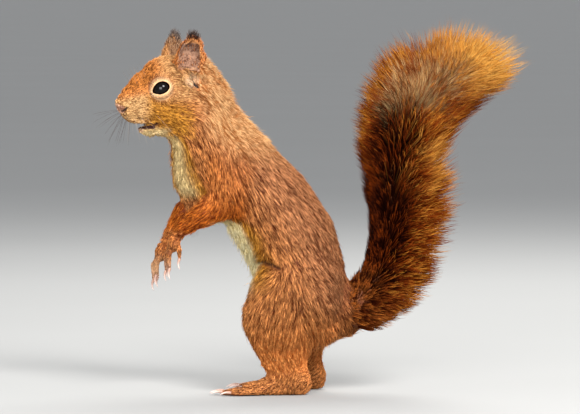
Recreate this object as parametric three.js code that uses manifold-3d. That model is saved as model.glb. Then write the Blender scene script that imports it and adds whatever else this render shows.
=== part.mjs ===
// A life-size Eurasian red squirrel that stands upright on its hind feet, with its forepaws hanging in
// front of its chest, its head turned a little to its left and its brush raised behind its back.
// Millimetres, +Z up. It faces -X, its left side is towards -Y, and the origin is on the floor under
// its middle. Every solid goes out to the tips of the coat. The flesh is one blended form, parted by
// thin cuts into named pieces.
import * as THREE from "three";
import { mergeVertices } from "three/addons/utils/BufferGeometryUtils.js";
import Module from "manifold-3d";

const wasm = await Module();
wasm.setup();

// ---------------------------------------------------------------- driving dimensions
const SEAM = 0.3; // width of the thin cuts between pieces
const LEFT = -1; // the sign of Y on each side of the body
const RIGHT = 1;
const SIDES = { left: LEFT, right: RIGHT };

const HEAD_TURN = THREE.MathUtils.degToRad(19); // how far the nose is turned towards the animal's left
const HEAD_PIVOT = new THREE.Vector2(-70, 0); // the upright line through the nape that the head turns about

const EYE_RADIUS = 5.2;
const EYE_CENTRE = [-96.4, 10.6, 176.7]; // in the head's own frame, for the right eye
// Half sizes of the egg that an ear is cut from, and the thickness of the ear
const EAR = { height: 13.6, width: 7.4, depth: 3.2, wall: 1.3 };
const EAR_CENTRE = [-79.6, 15.2, 195.6];
const EAR_LEAN = { left: 0.2, right: 0.06 }; // radians, the tip towards the back

const FINGER = { radius: 1.9, tip: 1.5, claw: 5.4 };
const TOE = { radius: 2.3, tip: 1.75, claw: 6.2 };
const CLAW_RADIUS = 0.85;

// How far the right hind foot stands behind the left one
const STEP = { left: 0, right: 9 };

// Cell of the blended form's mesh, by piece: finer where the form is smaller
const CELL = { head: 4.3, neck: 7.2, trunk: 9.0, thigh: 8.4, shank: 5.6, arm: 5.8, foot: 7.0 };
const TAIL_CELL = { root: 8.4, lower: 9.8, middle: 10.8, upper: 10.8, tip: 9.2 };

// ---------------------------------------------------------------- blended form
// A ball is [x, z, radius seen from the side, half-width sideways, y].
// A chain is a row of balls, filled in between.
const SPINE = [
  [-3.6, 53.0, 23.2, 22.5, 0], // rump
  [-9.0, 66.0, 25.4, 26.5, 0],
  [-18.0, 88.7, 27.4, 28.5, 0], // belly
  [-30.7, 109.0, 26.7, 26.5, 0],
  [-45.5, 128.0, 23.8, 23.5, 0], // ribs
  [-56.5, 141.0, 23.0, 21.5, 0],
  [-66.5, 155.0, 21.2, 19.5, 0], // neck
  [-70.5, 167.6, 19.6, 18.5, 0], // nape
];
const CHEST = [
  [-63.4, 137.0, 23.8, 18.5, 0],
  [-63.6, 126.0, 22.6, 17.0, 0],
  [-64.4, 115.0, 17.0, 11.5, 0],
];
// In the head's own frame, before it is turned
const SKULL = [
  [-76.0, 178.4, 18.9, 17.2, 0], // back of the skull
  [-90.4, 178.4, 16.5, 15.0, 0], // brow, between the eyes
  [-101.0, 174.8, 12.4, 11.0, 0],
  [-109.4, 171.0, 8.6, 7.4, 0], // muzzle
  [-116.2, 167.5, 4.9, 4.6, 0], // nose
];
const LIP = [
  [-106.8, 164.6, 6.6, 5.2, 3.4], // whisker pad
  [-114.2, 163.6, 3.4, 2.6, 1.6],
];
const CHEEK = [
  [-80.5, 164.5, 13.4, 10.5, 5.0],
  [-89.5, 166.0, 11.6, 9.0, 5.2],
  [-98.6, 165.6, 8.6, 7.0, 4.2],
];
const JAW = [
  [-103.4, 153.2, 2.9, 3.6, 0], // chin
  [-96.6, 153.8, 5.0, 5.6, 0],
  [-86.0, 157.6, 8.8, 9.0, 0],
];
const THIGH = [
  [-16.0, 56.0, 27.0, 15.5, 19.0],
  [-20.6, 46.5, 25.4, 13.5, 20.5],
  [-33.0, 43.0, 13.2, 9.5, 19.0], // knee
];
const HAM = [
  [-8.0, 40.0, 15.0, 9.5, 16.0],
  [1.0, 38.8, 13.0, 9.0, 13.0],
];
const SHANK = [
  [-29.0, 38.0, 14.0, 10.0, 19.5],
  [-21.5, 23.0, 14.6, 8.6, 18.5],
  [-17.0, 12.0, 11.0, 6.8, 18.0],
  [-13.4, 7.4, 8.6, 6.0, 18.0], // ankle and heel
];
const FOOT = [
  [-13.4, 6.6, 8.6, 6.2, 18.0],
  [-26.0, 4.8, 6.4, 6.8, 18.6],
  [-42.0, 3.0, 4.4, 7.4, 19.4], // ball of the toes
];
const BRUSH = [
  [2.0, 43.5, 13.4, 13.0, 0], // root of the tail
  [18.0, 44.5, 13.6, 13.5, 0],
  [33.0, 54.5, 17.4, 17.0, 0],
  [45.0, 69.0, 20.6, 20.5, 0],
  [50.0, 86.0, 22.6, 23.0, 0],
  [52.4, 106.0, 25.0, 25.0, 0],
  [50.4, 124.0, 26.6, 26.0, 0],
  [47.0, 141.0, 26.2, 26.5, 0],
  [49.2, 158.0, 29.0, 27.0, 0],
  [56.5, 174.6, 31.2, 27.0, 0],
  [74.5, 185.6, 26.4, 24.0, 0],
  [95.0, 191.0, 18.8, 17.0, 0],
  [112.0, 195.0, 8.2, 8.0, 0], // tip of the brush
];
// The forelegs differ, because the right one is held further forward
const FORELEG = {
  left: [
    [-54.0, 134.0, 14.0, 9.0, 15.0], // shoulder
    [-52.0, 114.0, 10.6, 8.2, 19.5],
    [-53.0, 110.0, 8.8, 7.8, 20.0], // elbow
    [-67.0, 104.6, 8.6, 6.8, 19.5],
    [-76.0, 99.0, 6.6, 5.6, 18.0],
    [-81.8, 94.2, 4.8, 4.8, 16.5], // wrist
  ],
  right: [
    [-64.0, 131.0, 13.6, 9.0, 14.5],
    [-70.0, 115.0, 11.0, 8.0, 18.0],
    [-73.6, 110.0, 9.6, 7.6, 18.0],
    [-80.0, 102.0, 7.6, 6.2, 17.0],
    [-85.4, 94.6, 5.8, 5.2, 15.0],
    [-88.6, 88.4, 4.6, 4.6, 13.5],
  ],
};

const clamp01 = (t) => Math.min(1, Math.max(0, t));

// Signed distance to a chain of balls, moved by dx and mirrored to one side
function chain(balls, side = 1, dx = 0) {
  return (x, y, z) => {
    let nearest = Infinity;
    for (let i = 0; i + 1 < balls.length; i++) {
      const [ax, az, ar, aw, ay] = balls[i];
      const [bx, bz, br, bw, by] = balls[i + 1];
      const [ux, uy, uz] = [bx - ax, by - ay, bz - az];
      const [px, py, pz] = [x - dx - ax, y * side - ay, z - az];
      const t = clamp01((px * ux + py * uy + pz * uz) / (ux * ux + uy * uy + uz * uz));
      const r = ar + t * (br - ar);
      const w = aw + t * (bw - aw);
      const away = Math.hypot(px - t * ux, ((py - t * uy) * r) / w, pz - t * uz);
      nearest = Math.min(nearest, away - r);
    }
    return nearest;
  };
}

// Smooth union of two distances, rounded over about `soft`
function melt(a, b, soft) {
  const h = Math.max(soft - Math.abs(a - b), 0) / soft;
  return Math.min(a, b) - (h * h * soft) / 4;
}

const meltAll = (shapes, soft) => (x, y, z) =>
  shapes.reduce((d, shape) => melt(d, shape(x, y, z), soft), Infinity);

// A point of the turned head, taken back to the head's own frame
function unturned(x, y) {
  const p = new THREE.Vector2(x, y).rotateAround(HEAD_PIVOT, -HEAD_TURN);
  return [p.x, p.y];
}

// A place in the head's own frame, taken to the turned head
function turned([x, y, z]) {
  const p = new THREE.Vector2(x, y).rotateAround(HEAD_PIVOT, HEAD_TURN);
  return [p.x, p.y, z];
}

const bothSides = (make) => Object.entries(SIDES).flatMap(([name, side]) => make(name, side));
const headForm = meltAll(
  [chain(SKULL), chain(JAW), ...bothSides((name, side) => [chain(LIP, side), chain(CHEEK, side)])],
  3.2,
);
const limbs = bothSides((name, side) => [
  chain(FORELEG[name], side),
  chain(THIGH, side, STEP[name] * 0.3),
  chain(HAM, side, STEP[name] * 0.3),
  meltAll([chain(SHANK, side, STEP[name]), chain(FOOT, side, STEP[name])], 2),
]);
const bodyForm = meltAll([chain(SPINE), chain(CHEST), ...limbs], 5);
const brushForm = chain(BRUSH);

function flesh(x, y, z) {
  const [hx, hy] = unturned(x, y);
  return melt(melt(bodyForm(x, y, z), headForm(hx, hy, z), 8), brushForm(x, y, z), 3);
}

// ---------------------------------------------------------------- meshing
const corners = [0, 1, 2, 3, 4, 5, 6, 7].map((n) => [n & 1, (n >> 1) & 1, n >> 2]);

// Whether the corners of one cell in `mask` hang together along the cell's edges
function hangTogether(mask) {
  let grown = mask & -mask;
  for (let pass = 0; pass < 8; pass++)
    for (let m = 0; m < 8; m++)
      for (const bit of [1, 2, 4]) if ((grown >> m) & 1 && (mask >> (m ^ bit)) & 1) grown |= 1 << (m ^ bit);
  return grown === mask;
}
const CLEAR = Array.from({ length: 256 }, (_, mask) => hangTogether(mask) && hangTogether(255 - mask));

// Fills the few cells where two sheets of the surface would touch, so that the mesh is closed and simple
function settle(value, count, at) {
  for (let changed = true; changed; ) {
    changed = false;
    for (let k = 0; k + 1 < count[2]; k++)
      for (let j = 0; j + 1 < count[1]; j++)
        for (let i = 0; i + 1 < count[0]; i++) {
          const places = corners.map(([a, b, c]) => at(i + a, j + b, k + c));
          if (CLEAR[places.reduce((mask, n, m) => mask | ((value[n] < 0) << m), 0)]) continue;
          const outside = places.filter((n) => value[n] >= 0).sort((a, b) => value[a] - value[b]);
          value[outside[0]] = -0.05;
          changed = true;
        }
  }
}

// A place near the surface, moved along the slope of the field until it lies on it
function pulledOnto(field, p, cell) {
  const here = field(...p);
  const slope = new THREE.Vector3().fromArray(
    p.map((_, axis) => (field(...p.map((v, a) => v + (a === axis ? 0.01 : 0))) - here) / 0.01),
  );
  const move = slope.multiplyScalar(-here / slope.lengthSq()).clampLength(0, 0.4 * cell);
  return [p[0] + move.x, p[1] + move.y, p[2] + move.z];
}

// Surface of a distance field inside a box, as one closed mesh with a vertex in each cell that the
// surface crosses
function surfaceOf(field, [low, high], cell) {
  const count = low.map((v, k) => Math.ceil((high[k] - v) / cell) + 2);
  const at = (i, j, k) => i + count[0] * (j + count[1] * k);
  const place = (n, k) => low[k] + (n - 0.5) * cell;
  const value = new Float64Array(count[0] * count[1] * count[2]);
  for (let k = 0; k < count[2]; k++)
    for (let j = 0; j < count[1]; j++)
      for (let i = 0; i < count[0]; i++) {
        const rim = [i, j, k].some((n, axis) => n === 0 || n === count[axis] - 1);
        value[at(i, j, k)] = rim ? cell : field(place(i, 0), place(j, 1), place(k, 2));
      }
  const positions = [];
  const vertexOf = new Map();
  settle(value, count, at);
  for (let k = 0; k + 1 < count[2]; k++)
    for (let j = 0; j + 1 < count[1]; j++)
      for (let i = 0; i + 1 < count[0]; i++) {
        const values = corners.map(([a, b, c]) => value[at(i + a, j + b, k + c)]);
        const sum = [0, 0, 0];
        let crossings = 0;
        for (let m = 0; m < 8; m++)
          for (const bit of [1, 2, 4]) {
            if (m & bit || values[m] < 0 === values[m | bit] < 0) continue;
            const t = values[m] / (values[m] - values[m | bit]);
            corners[m].forEach((c, axis) => (sum[axis] += c + t * (corners[m | bit][axis] - c)));
            crossings++;
          }
        if (!crossings) continue;
        vertexOf.set(at(i, j, k), positions.length / 3);
        const p = [i, j, k].map((n, axis) => place(n + sum[axis] / crossings, axis));
        const inner = [i, j, k].every((n, axis) => n > 0 && n + 2 < count[axis]);
        positions.push(...(inner ? pulledOnto(field, p, cell) : p));
      }
  const faces = [];
  const point = (n) => new THREE.Vector3().fromArray(positions, 3 * n);
  for (let k = 0; k + 1 < count[2]; k++)
    for (let j = 0; j + 1 < count[1]; j++)
      for (let i = 0; i + 1 < count[0]; i++)
        for (const [axis, u, v] of [[0, 1, 2], [1, 2, 0], [2, 0, 1]]) {
          if (![i, j, k][u] || ![i, j, k][v]) continue;
          const here = value[at(i, j, k)] < 0;
          const next = [i, j, k].map((n, a) => n + (a === axis ? 1 : 0));
          if (here === value[at(...next)] < 0) continue;
          const ring = [[0, 0], [-1, 0], [-1, -1], [0, -1]].map(([du, dv]) => {
            const cellAt = [i, j, k];
            cellAt[u] += du;
            cellAt[v] += dv;
            return vertexOf.get(at(...cellAt));
          });
          if (!here) ring.reverse();
          const [a, b, c, d] = ring;
          const short = point(a).distanceTo(point(c)) < point(b).distanceTo(point(d));
          faces.push(...(short ? [a, b, c, a, c, d] : [a, b, d, b, c, d]));
        }
  const geometry = new THREE.BufferGeometry();
  geometry.setAttribute("position", new THREE.Float32BufferAttribute(positions, 3));
  return geometry.setIndex(faces);
}

// ---------------------------------------------------------------- solids
// A closed three.js geometry as a solid that can be cut and joined
function solidOf(geometry) {
  const bare = geometry.clone();
  bare.deleteAttribute("normal");
  bare.deleteAttribute("uv");
  const merged = mergeVertices(bare, 1e-4);
  return new wasm.Manifold(
    new wasm.Mesh({
      numProp: 3,
      vertProperties: new Float32Array(merged.attributes.position.array),
      triVerts: new Uint32Array(merged.index.array),
    }),
  );
}

function geometryOf(solid) {
  const mesh = solid.getMesh();
  const geometry = new THREE.BufferGeometry();
  geometry.setAttribute("position", new THREE.BufferAttribute(mesh.vertProperties, 3));
  geometry.setIndex(new THREE.BufferAttribute(mesh.triVerts, 1));
  geometry.computeVertexNormals();
  return geometry;
}

const join = (solids) => solids.reduce((a, b) => a.add(b));
const largest = (solid) => solid.decompose().sort((a, b) => b.volume() - a.volume())[0];
const opposite = (v) => v.map((n) => -n);

const ball = ([x, y, z], radius) => solidOf(new THREE.SphereGeometry(radius, 12, 7).translate(x, y, z));

// A block with its middle at a place, tilted about Y, grown by a margin on every side
function block({ at: [x, y, z], size, tilt = 0 }, side, margin = 0) {
  const [lx, ly, lz] = size.map((length) => length + 2 * margin);
  const geometry = new THREE.BoxGeometry(lx, ly, lz).rotateY(THREE.MathUtils.degToRad(tilt));
  return solidOf(geometry.translate(x, y * side, z));
}

// A tapered rod with round ends that follows a smooth curve through [x, y, z, radius] points
function rod(points, facets = 6, steps = 2) {
  const curve = new THREE.CatmullRomCurve3(points.map(([x, y, z]) => new THREE.Vector3(x, y, z)));
  const spans = points.length - 1;
  const rings = spans * steps;
  const radiusAt = (t) => {
    const n = Math.min(spans - 1, Math.floor(t * spans));
    return THREE.MathUtils.lerp(points[n][3], points[n + 1][3], t * spans - n);
  };
  const positions = [];
  const faces = [];
  const side = new THREE.Vector3();
  const up = new THREE.Vector3();
  for (let n = 0; n <= rings; n++) {
    const t = n / rings;
    const middle = curve.getPoint(t);
    const along = curve.getTangent(t);
    side.crossVectors(new THREE.Vector3(0, 1, 0.02), along).normalize();
    up.crossVectors(along, side);
    const radius = radiusAt(t) * (n === 0 || n === rings ? 0.72 : 1);
    for (let m = 0; m < facets; m++) {
      const angle = (2 * Math.PI * m) / facets;
      const p = middle.clone().addScaledVector(side, radius * Math.cos(angle));
      positions.push(...p.addScaledVector(up, radius * Math.sin(angle)).toArray());
    }
  }
  for (let n = 0; n < rings; n++)
    for (let m = 0; m < facets; m++) {
      const [a, b] = [n * facets + m, n * facets + ((m + 1) % facets)];
      faces.push(a, b, b + facets, a, b + facets, a + facets);
    }
  for (const [t, first, flip] of [[0, 0, true], [1, rings * facets, false]]) {
    const cap = positions.length / 3;
    const out = curve.getTangent(t).multiplyScalar((t ? 0.5 : -0.5) * radiusAt(t));
    positions.push(...curve.getPoint(t).add(out).toArray());
    for (let m = 0; m < facets; m++) {
      const [a, b] = [first + m, first + ((m + 1) % facets)];
      faces.push(...(flip ? [b, a, cap] : [a, b, cap]));
    }
  }
  const geometry = new THREE.BufferGeometry();
  geometry.setAttribute("position", new THREE.Float32BufferAttribute(positions, 3));
  return solidOf(geometry.setIndex(faces));
}

// Keeps what lies on the side of a cut that its direction points to, less half a seam
function keep(solid, { at: [x, z], to: [nx, nz] }, sign = 1) {
  const length = Math.hypot(nx, nz) * sign;
  const [ux, uz] = [nx / length, nz / length];
  return solid.trimByPlane([ux, 0, uz], ux * x + uz * z + SEAM / 2);
}

const partOfFlesh = (low, high, cell) => solidOf(surfaceOf(flesh, [low, high], cell));

// The part of the blended form on one side of the body, between two heights and two distances along
function sideOfFlesh(side, [x0, x1], [y0, y1], [z0, z1], cell) {
  const [near, far] = side === LEFT ? [-y1, -y0] : [y0, y1];
  return partOfFlesh([x0, near, z0], [x1, far, z1], cell);
}

// ---------------------------------------------------------------- cuts
// A cut goes straight through the body, sideways: `at` is a place on it seen from the side
const NAPE = { at: [-74.5, 168.5], to: [-0.83, 0.56] }; // to the head
const SHOULDERS = { at: [-60.0, 141.0], to: [-0.41, 0.91] }; // to the neck
const MOUTH = { at: [-98.9, 155.9], to: [-0.18, -0.98] }; // to the lower jaw
const GAPE = { at: [-98.9, 155.7], to: [0.42, -0.91] }; // the lower lip, fallen away from the upper one
const KNEE = { at: [-22.0, 27.0], to: [0.0, -1.0] }; // to the shank
const ANKLE = { at: [-15.0, 13.0], to: [-0.3, -0.95] }; // to the foot
const WRIST = {
  left: { at: [-81.6, 94.6], to: [-0.5, -0.87] },
  right: { at: [-88.2, 89.0], to: [-0.35, -0.94] },
};
const TAIL_CUTS = [
  { at: [21.0, 48.0], to: [1.0, -0.1] },
  { at: [46.0, 73.0], to: [0.42, 0.91] },
  { at: [51.0, 116.0], to: [-0.05, 1.0] },
  { at: [49.0, 155.0], to: [0.25, 0.97] },
  { at: [77.0, 185.0], to: [0.93, 0.36] },
];
// Blocks of the blended form that belong to a limb, on the right side
const HAUNCH_BLOCK = { at: [-20.0, 29.0, 51.0], size: [84, 42, 52], tilt: 3 };
const UPPER_ARM_BLOCK = {
  left: { at: [-53.0, 27.0, 124.0], size: [31, 29, 46], tilt: -8 },
  right: { at: [-66.0, 27.0, 124.0], size: [31, 29, 44], tilt: -8 },
};
const FOREARM_BLOCK = {
  left: { at: [-75.0, 21.0, 99.0], size: [26, 19, 24], tilt: -33 },
  right: { at: [-84.2, 18.6, 95.6], size: [24, 17, 24], tilt: -55 },
};

// ---------------------------------------------------------------- pieces
const eyeCentre = (side) => turned([EYE_CENTRE[0], EYE_CENTRE[1] * side, EYE_CENTRE[2]]);

// An ear is a pointed cup: a flat egg, hollowed from its outer side
function makeEar(side, lean, margin = 0) {
  const egg = new THREE.SphereGeometry(1, 11, 7).rotateX(Math.PI / 2);
  const position = egg.attributes.position;
  for (let n = 0; n < position.count; n++) {
    position.setX(n, position.getX(n) * (1 - 0.4 * Math.max(0, position.getZ(n)) ** 2));
  }
  const hollow = egg.clone();
  egg.scale(EAR.width + margin, EAR.depth + margin, EAR.height + margin);
  hollow.scale(EAR.width - EAR.wall, EAR.depth, EAR.height - 1.4 * EAR.wall);
  hollow.translate(0, side * 2 * EAR.wall, 0);
  const turn = HEAD_TURN + side * 0.35;
  const [x, y, z] = turned([EAR_CENTRE[0], EAR_CENTRE[1] * side, EAR_CENTRE[2]]);
  const [outer, inner] = [egg, hollow].map((shape) =>
    solidOf(shape.rotateX(-side * 0.2).rotateY(lean).rotateZ(turn).translate(x, y, z)),
  );
  return margin ? outer : largest(outer.subtract(inner));
}

function makeHead() {
  const rooms = bothSides((name, side) => [
    ball(eyeCentre(side), EYE_RADIUS + SEAM),
    makeEar(side, EAR_LEAN[name], SEAM),
  ]);
  const whole = keep(partOfFlesh([-124, -34, 138], [-50, 34, 202], CELL.head), NAPE);
  return {
    head: largest(keep(whole, MOUTH, -1).subtract(join(rooms))),
    lower_jaw: largest(keep(keep(whole, MOUTH), GAPE)),
  };
}

function makeNeck() {
  const whole = partOfFlesh([-98, -32, 118], [-28, 32, 200], CELL.neck);
  return largest(keep(keep(whole, NAPE, -1), SHOULDERS));
}

function makeTrunk() {
  const whole = keep(partOfFlesh([-98, -40, 22], [32, 40, 166], CELL.trunk), SHOULDERS, -1);
  const rooms = bothSides((name, side) => [
    block(HAUNCH_BLOCK, side, SEAM),
    block(UPPER_ARM_BLOCK[name], side, SEAM),
    block(FOREARM_BLOCK[name], side, SEAM),
  ]);
  return largest(keep(keep(whole, TAIL_CUTS[0], -1), KNEE, -1).subtract(join(rooms)));
}

function makeHindLeg(name, side) {
  const above = sideOfFlesh(side, [-56, 28], [0, 44], [20, 84], CELL.thigh);
  const haunch = above.intersect(block(HAUNCH_BLOCK, side));
  const below = sideOfFlesh(side, [-60, 30], [1, 42], [-8, 34], CELL.shank);
  return {
    ["thigh_" + name]: largest(keep(keep(haunch, KNEE, -1), TAIL_CUTS[0], -1)),
    ["shank_" + name]: largest(keep(keep(below, KNEE), ANKLE, -1)),
  };
}

function makeForeleg(name, side) {
  const whole = sideOfFlesh(side, [-100, -30], [6, 38], [80, 152], CELL.arm);
  const upper = whole.intersect(block(UPPER_ARM_BLOCK[name], side));
  const fore = whole.intersect(block(FOREARM_BLOCK[name], side));
  const elbow = block(FOREARM_BLOCK[name], side, SEAM);
  return {
    ["upper_arm_" + name]: largest(keep(upper.subtract(elbow), SHOULDERS, -1)),
    ["forearm_" + name]: largest(keep(fore, WRIST[name], -1)),
  };
}

// The curved claw at the end of a digit that comes from one place and ends at another
function makeClaw([ax, ay, az], [bx, by, bz], length, droop) {
  const along = new THREE.Vector3(bx - ax, by - ay, bz - az).normalize();
  const start = new THREE.Vector3(bx, by, bz).addScaledVector(along, 1.25);
  const bend = start.clone().addScaledVector(along, length * 0.55);
  const point = bend.clone().addScaledVector(along, length * 0.3);
  point.z -= droop;
  return rod(
    [start, bend, point].map((p, n) => [...p.toArray(), CLAW_RADIUS * (1 - 0.35 * n)]),
    4,
    1,
  );
}

// A hand hangs from the wrist. Each digit is [out, back, down] from the wrist to its base, its knuckle
// and its end.
const DIGITS = [
  [[-3.6, -1.6, 5.0], [-5.0, -4.8, 11.6], [-4.8, -4.8, 18.6]],
  [[-1.2, -2.6, 6.0], [-1.6, -6.8, 13.4], [-1.4, -6.6, 21.8]],
  [[1.4, -2.0, 6.0], [2.2, -5.0, 13.2], [2.2, -4.4, 20.4]],
  [[3.6, 0.4, 4.6], [5.2, 1.2, 9.6], [5.4, 1.4, 14.6]],
];
const HAND_AT = { left: [-82.6, 16.2, 93.6], right: [-90.6, 13.0, 86.4] };

function makeHand(name, side) {
  const [wx, wy, wz] = HAND_AT[name];
  const place = ([out, back, down], radius) => [wx + back, (wy + out) * side, wz - down, radius];
  const palm = new THREE.SphereGeometry(1, 8, 6).scale(3.9, 5.4, 6.8).rotateY(0.3);
  const parts = [solidOf(palm.translate(wx - 2.0, wy * side, wz - 5.4))];
  const claws = {};
  DIGITS.forEach(([base, knuckle, end], n) => {
    parts.push(
      rod([place(base, FINGER.radius), place(knuckle, FINGER.radius * 0.95), place(end, FINGER.tip)], 5, 1),
    );
    claws["claw_" + name + "_hand_" + (n + 1)] = makeClaw(place(knuckle), place(end), FINGER.claw, 0.4);
  });
  const wrist = sideOfFlesh(side, [-100, -70], [4, 28], [78, 104], CELL.arm);
  parts.push(largest(keep(wrist, WRIST[name])));
  return { ["hand_" + name]: keep(join(parts), WRIST[name]), ...claws };
}

// Toes stand side by side at the front of the foot. Each is [out, length] from the middle of its ball.
const TOES = [
  [-7.0, 9.0],
  [-3.8, 14.0],
  [0.0, 15.6],
  [3.8, 14.6],
  [7.4, 9.6],
];

function makeFoot(name, side) {
  const ballOfFoot = FOOT[FOOT.length - 1];
  const sole = sideOfFlesh(side, [-60, 20], [2, 40], [-7, 26], CELL.foot);
  const parts = [largest(keep(sole, ANKLE))];
  const claws = {};
  TOES.forEach(([out, length], n) => {
    const x = ballOfFoot[0] + STEP[name];
    const y = (ballOfFoot[4] + out) * side;
    const fan = side * out * 0.16;
    const base = [x + 4 + Math.abs(out) * 0.5, y - fan, 2.4, TOE.radius];
    const joint = [x - length * 0.5, y + fan * 0.4, 2.1, TOE.radius];
    const end = [x - length, y + fan, 1.4, TOE.tip];
    parts.push(rod([base, joint, end], 5, 1));
    const claw = makeClaw([x, y, 3.0], [end[0], end[1], 2.1], TOE.claw, 0.6);
    claws["claw_" + name + "_foot_" + (n + 1)] = claw;
  });
  return { ["foot_" + name]: largest(join(parts).trimByPlane([0, 0, 1], 0)), ...claws };
}

function makeTail() {
  return Object.fromEntries(
    Object.entries(TAIL_CELL).map(([name, cell], n) => {
      const piece = keep(partOfFlesh([8, -34, 24], [126, 34, 216], cell), TAIL_CUTS[n]);
      return ["tail_" + name, largest(n + 1 < TAIL_CUTS.length ? keep(piece, TAIL_CUTS[n + 1], -1) : piece)];
    }),
  );
}

// ---------------------------------------------------------------- assembly
const FINISHES = {
  coat: { color: "#a8541f", roughness: 0.8 },
  brush: { color: "#7a3512", roughness: 0.85 },
  eye: { color: "#080707", roughness: 0.05 },
  claw: { color: "#b9a39b", roughness: 0.4 },
};

const pieces = { ...makeHead(), neck: makeNeck(), trunk: makeTrunk(), ...makeTail() };
for (const [name, side] of Object.entries(SIDES)) {
  Object.assign(pieces, makeHindLeg(name, side), makeForeleg(name, side));
  Object.assign(pieces, makeHand(name, side), makeFoot(name, side));
  pieces["eye_" + name] = ball(eyeCentre(side), EYE_RADIUS);
  pieces["ear_" + name] = makeEar(side, EAR_LEAN[name]);
}

const FINISH_OF = { tail: "brush", eye: "eye", claw: "claw" };
const finishOf = (name) => FINISHES[FINISH_OF[name.split("_")[0]] ?? "coat"];

const squirrel = new THREE.Group();
squirrel.name = "squirrel";
for (const [name, solid] of Object.entries(pieces)) {
  const finish = new THREE.MeshStandardMaterial({ ...finishOf(name), metalness: 0 });
  const mesh = new THREE.Mesh(geometryOf(solid), finish);
  mesh.name = name;
  squirrel.add(mesh);
}

// The origin goes to the middle of the footprint
const bounds = new THREE.Box3().setFromObject(squirrel);
const middle = bounds.getCenter(new THREE.Vector3());
squirrel.children.forEach((mesh) => mesh.geometry.translate(-middle.x, -middle.y, -bounds.min.z));

export default squirrel;
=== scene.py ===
import math

import bmesh
import bpy
import numpy as np
from bpy.props import FloatProperty, FloatVectorProperty, IntProperty, PointerProperty
from bpy.types import Operator, Panel, PropertyGroup
from mathutils import Matrix, Vector, noise
from mathutils.bvhtree import BVHTree
from mathutils.kdtree import KDTree


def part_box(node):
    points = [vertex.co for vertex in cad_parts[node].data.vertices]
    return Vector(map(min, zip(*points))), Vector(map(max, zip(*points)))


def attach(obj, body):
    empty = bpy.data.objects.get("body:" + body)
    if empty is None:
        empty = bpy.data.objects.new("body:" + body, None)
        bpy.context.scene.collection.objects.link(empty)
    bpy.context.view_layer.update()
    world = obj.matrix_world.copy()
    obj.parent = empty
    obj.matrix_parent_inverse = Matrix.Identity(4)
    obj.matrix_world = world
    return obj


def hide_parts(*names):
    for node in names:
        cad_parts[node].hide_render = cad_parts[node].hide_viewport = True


bl_info = {
    "name": "Red squirrel",
    "version": (1, 0, 0),
    "blender": (4, 5, 0),
    "location": "3D View > Sidebar > Squirrel",
    "description": "Skin, coat, brush, eyes, claws and whiskers of a standing red squirrel",
    "category": "Object",
}

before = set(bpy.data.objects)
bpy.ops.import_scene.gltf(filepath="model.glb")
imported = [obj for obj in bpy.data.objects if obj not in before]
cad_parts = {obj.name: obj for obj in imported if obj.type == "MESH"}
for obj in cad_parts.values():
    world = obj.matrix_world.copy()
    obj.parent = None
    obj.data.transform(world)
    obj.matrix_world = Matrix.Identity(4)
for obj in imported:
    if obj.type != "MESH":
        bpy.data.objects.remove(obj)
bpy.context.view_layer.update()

MM = 0.001
LEFT, RIGHT = -1, 1
SIDES = {"left": LEFT, "right": RIGHT}
TAIL_NODES = ["tail_root", "tail_lower", "tail_middle", "tail_upper", "tail_tip"]
PICTURE_MIDDLE = Vector((-17.4, 0, 107.6)) * MM
# Seeds of the random numbers; an ear's is one less on the left and one more on the right
SEEDS = {"coat": 11, "face": 12, "ears": 13, "brush": 21, "whiskers": 31, "noise": 1}
# What one step hands to the next: the skin, its search tree and its map, the hair's material, and which
# points of the skin are on the ears
STORE = {}


# ---------------------------------------------------------------- places
def centre(node):
    low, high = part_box(node)
    return (Vector(low) + Vector(high)) / 2


EYES = {side: centre("eye_" + name) for name, side in SIDES.items()}
EYE_RADIUS = 5.2 * MM
BETWEEN_EYES = (EYES[LEFT] + EYES[RIGHT]) / 2
HEAD_RIGHT = (EYES[RIGHT] - EYES[LEFT]).normalized()
HEAD_UP = Vector((0, 0, 1))
HEAD_FORWARD = HEAD_UP.cross(HEAD_RIGHT).normalized()
HEAD_AXES = np.stack([HEAD_FORWARD, HEAD_RIGHT, HEAD_UP], 1)


def on_head(forward, right, up):
    """A place given in millimetres from the middle between the eyes."""
    return BETWEEN_EYES + (HEAD_FORWARD * forward + HEAD_RIGHT * right + HEAD_UP * up) * MM


def head_places(points):
    """How far forward, right and up each point is from the middle between the eyes, in millimetres."""
    return ((points - np.array(BETWEEN_EYES)) / MM @ HEAD_AXES).T


def place(x, y, z):
    return Vector((x, y, z)) * MM


# Hair of each region: depth of the coat, length and width of a lock, and its lift from the skin in radians
MUZZLE = (0.25, 1.8, 0.27, 0.16)
BROW = (0.45, 2.6, 0.28, 0.15)
CROWN = (0.7, 3.4, 0.30, 0.24)
CHEEK = (0.6, 3.2, 0.28, 0.15)
CHIN = (0.4, 2.4, 0.32, 0.18)
NAPE = (3.0, 6.4, 0.35, 0.48)
THROAT = (1.1, 5.0, 0.40, 0.18)
FLANK = (1.5, 6.4, 0.31, 0.12)
BELLY = (1.7, 7.2, 0.42, 0.26)
LIMB = (1.1, 4.2, 0.33, 0.12)
PAW = (0.4, 2.2, 0.32, 0.12)
DIGIT = (0.15, 1.4, 0.26, 0.10)
RUMP = (1.8, 6.6, 0.34, 0.12)


class Bone:
    """A stretch of the body in millimetres: the line that its coat follows, its thickness and its coat."""

    def __init__(self, start, end, radius, coat, make=place):
        self.start, self.end = (np.array(make(*at)) for at in (start, end))
        self.radius = radius * MM
        self.coat = np.array(coat) * (MM, MM, MM, 1)
        self.flow = (self.end - self.start) / np.linalg.norm(self.end - self.start)

    def distance(self, points):
        return distance_to_line(points, self.start, self.end) - self.radius


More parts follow.
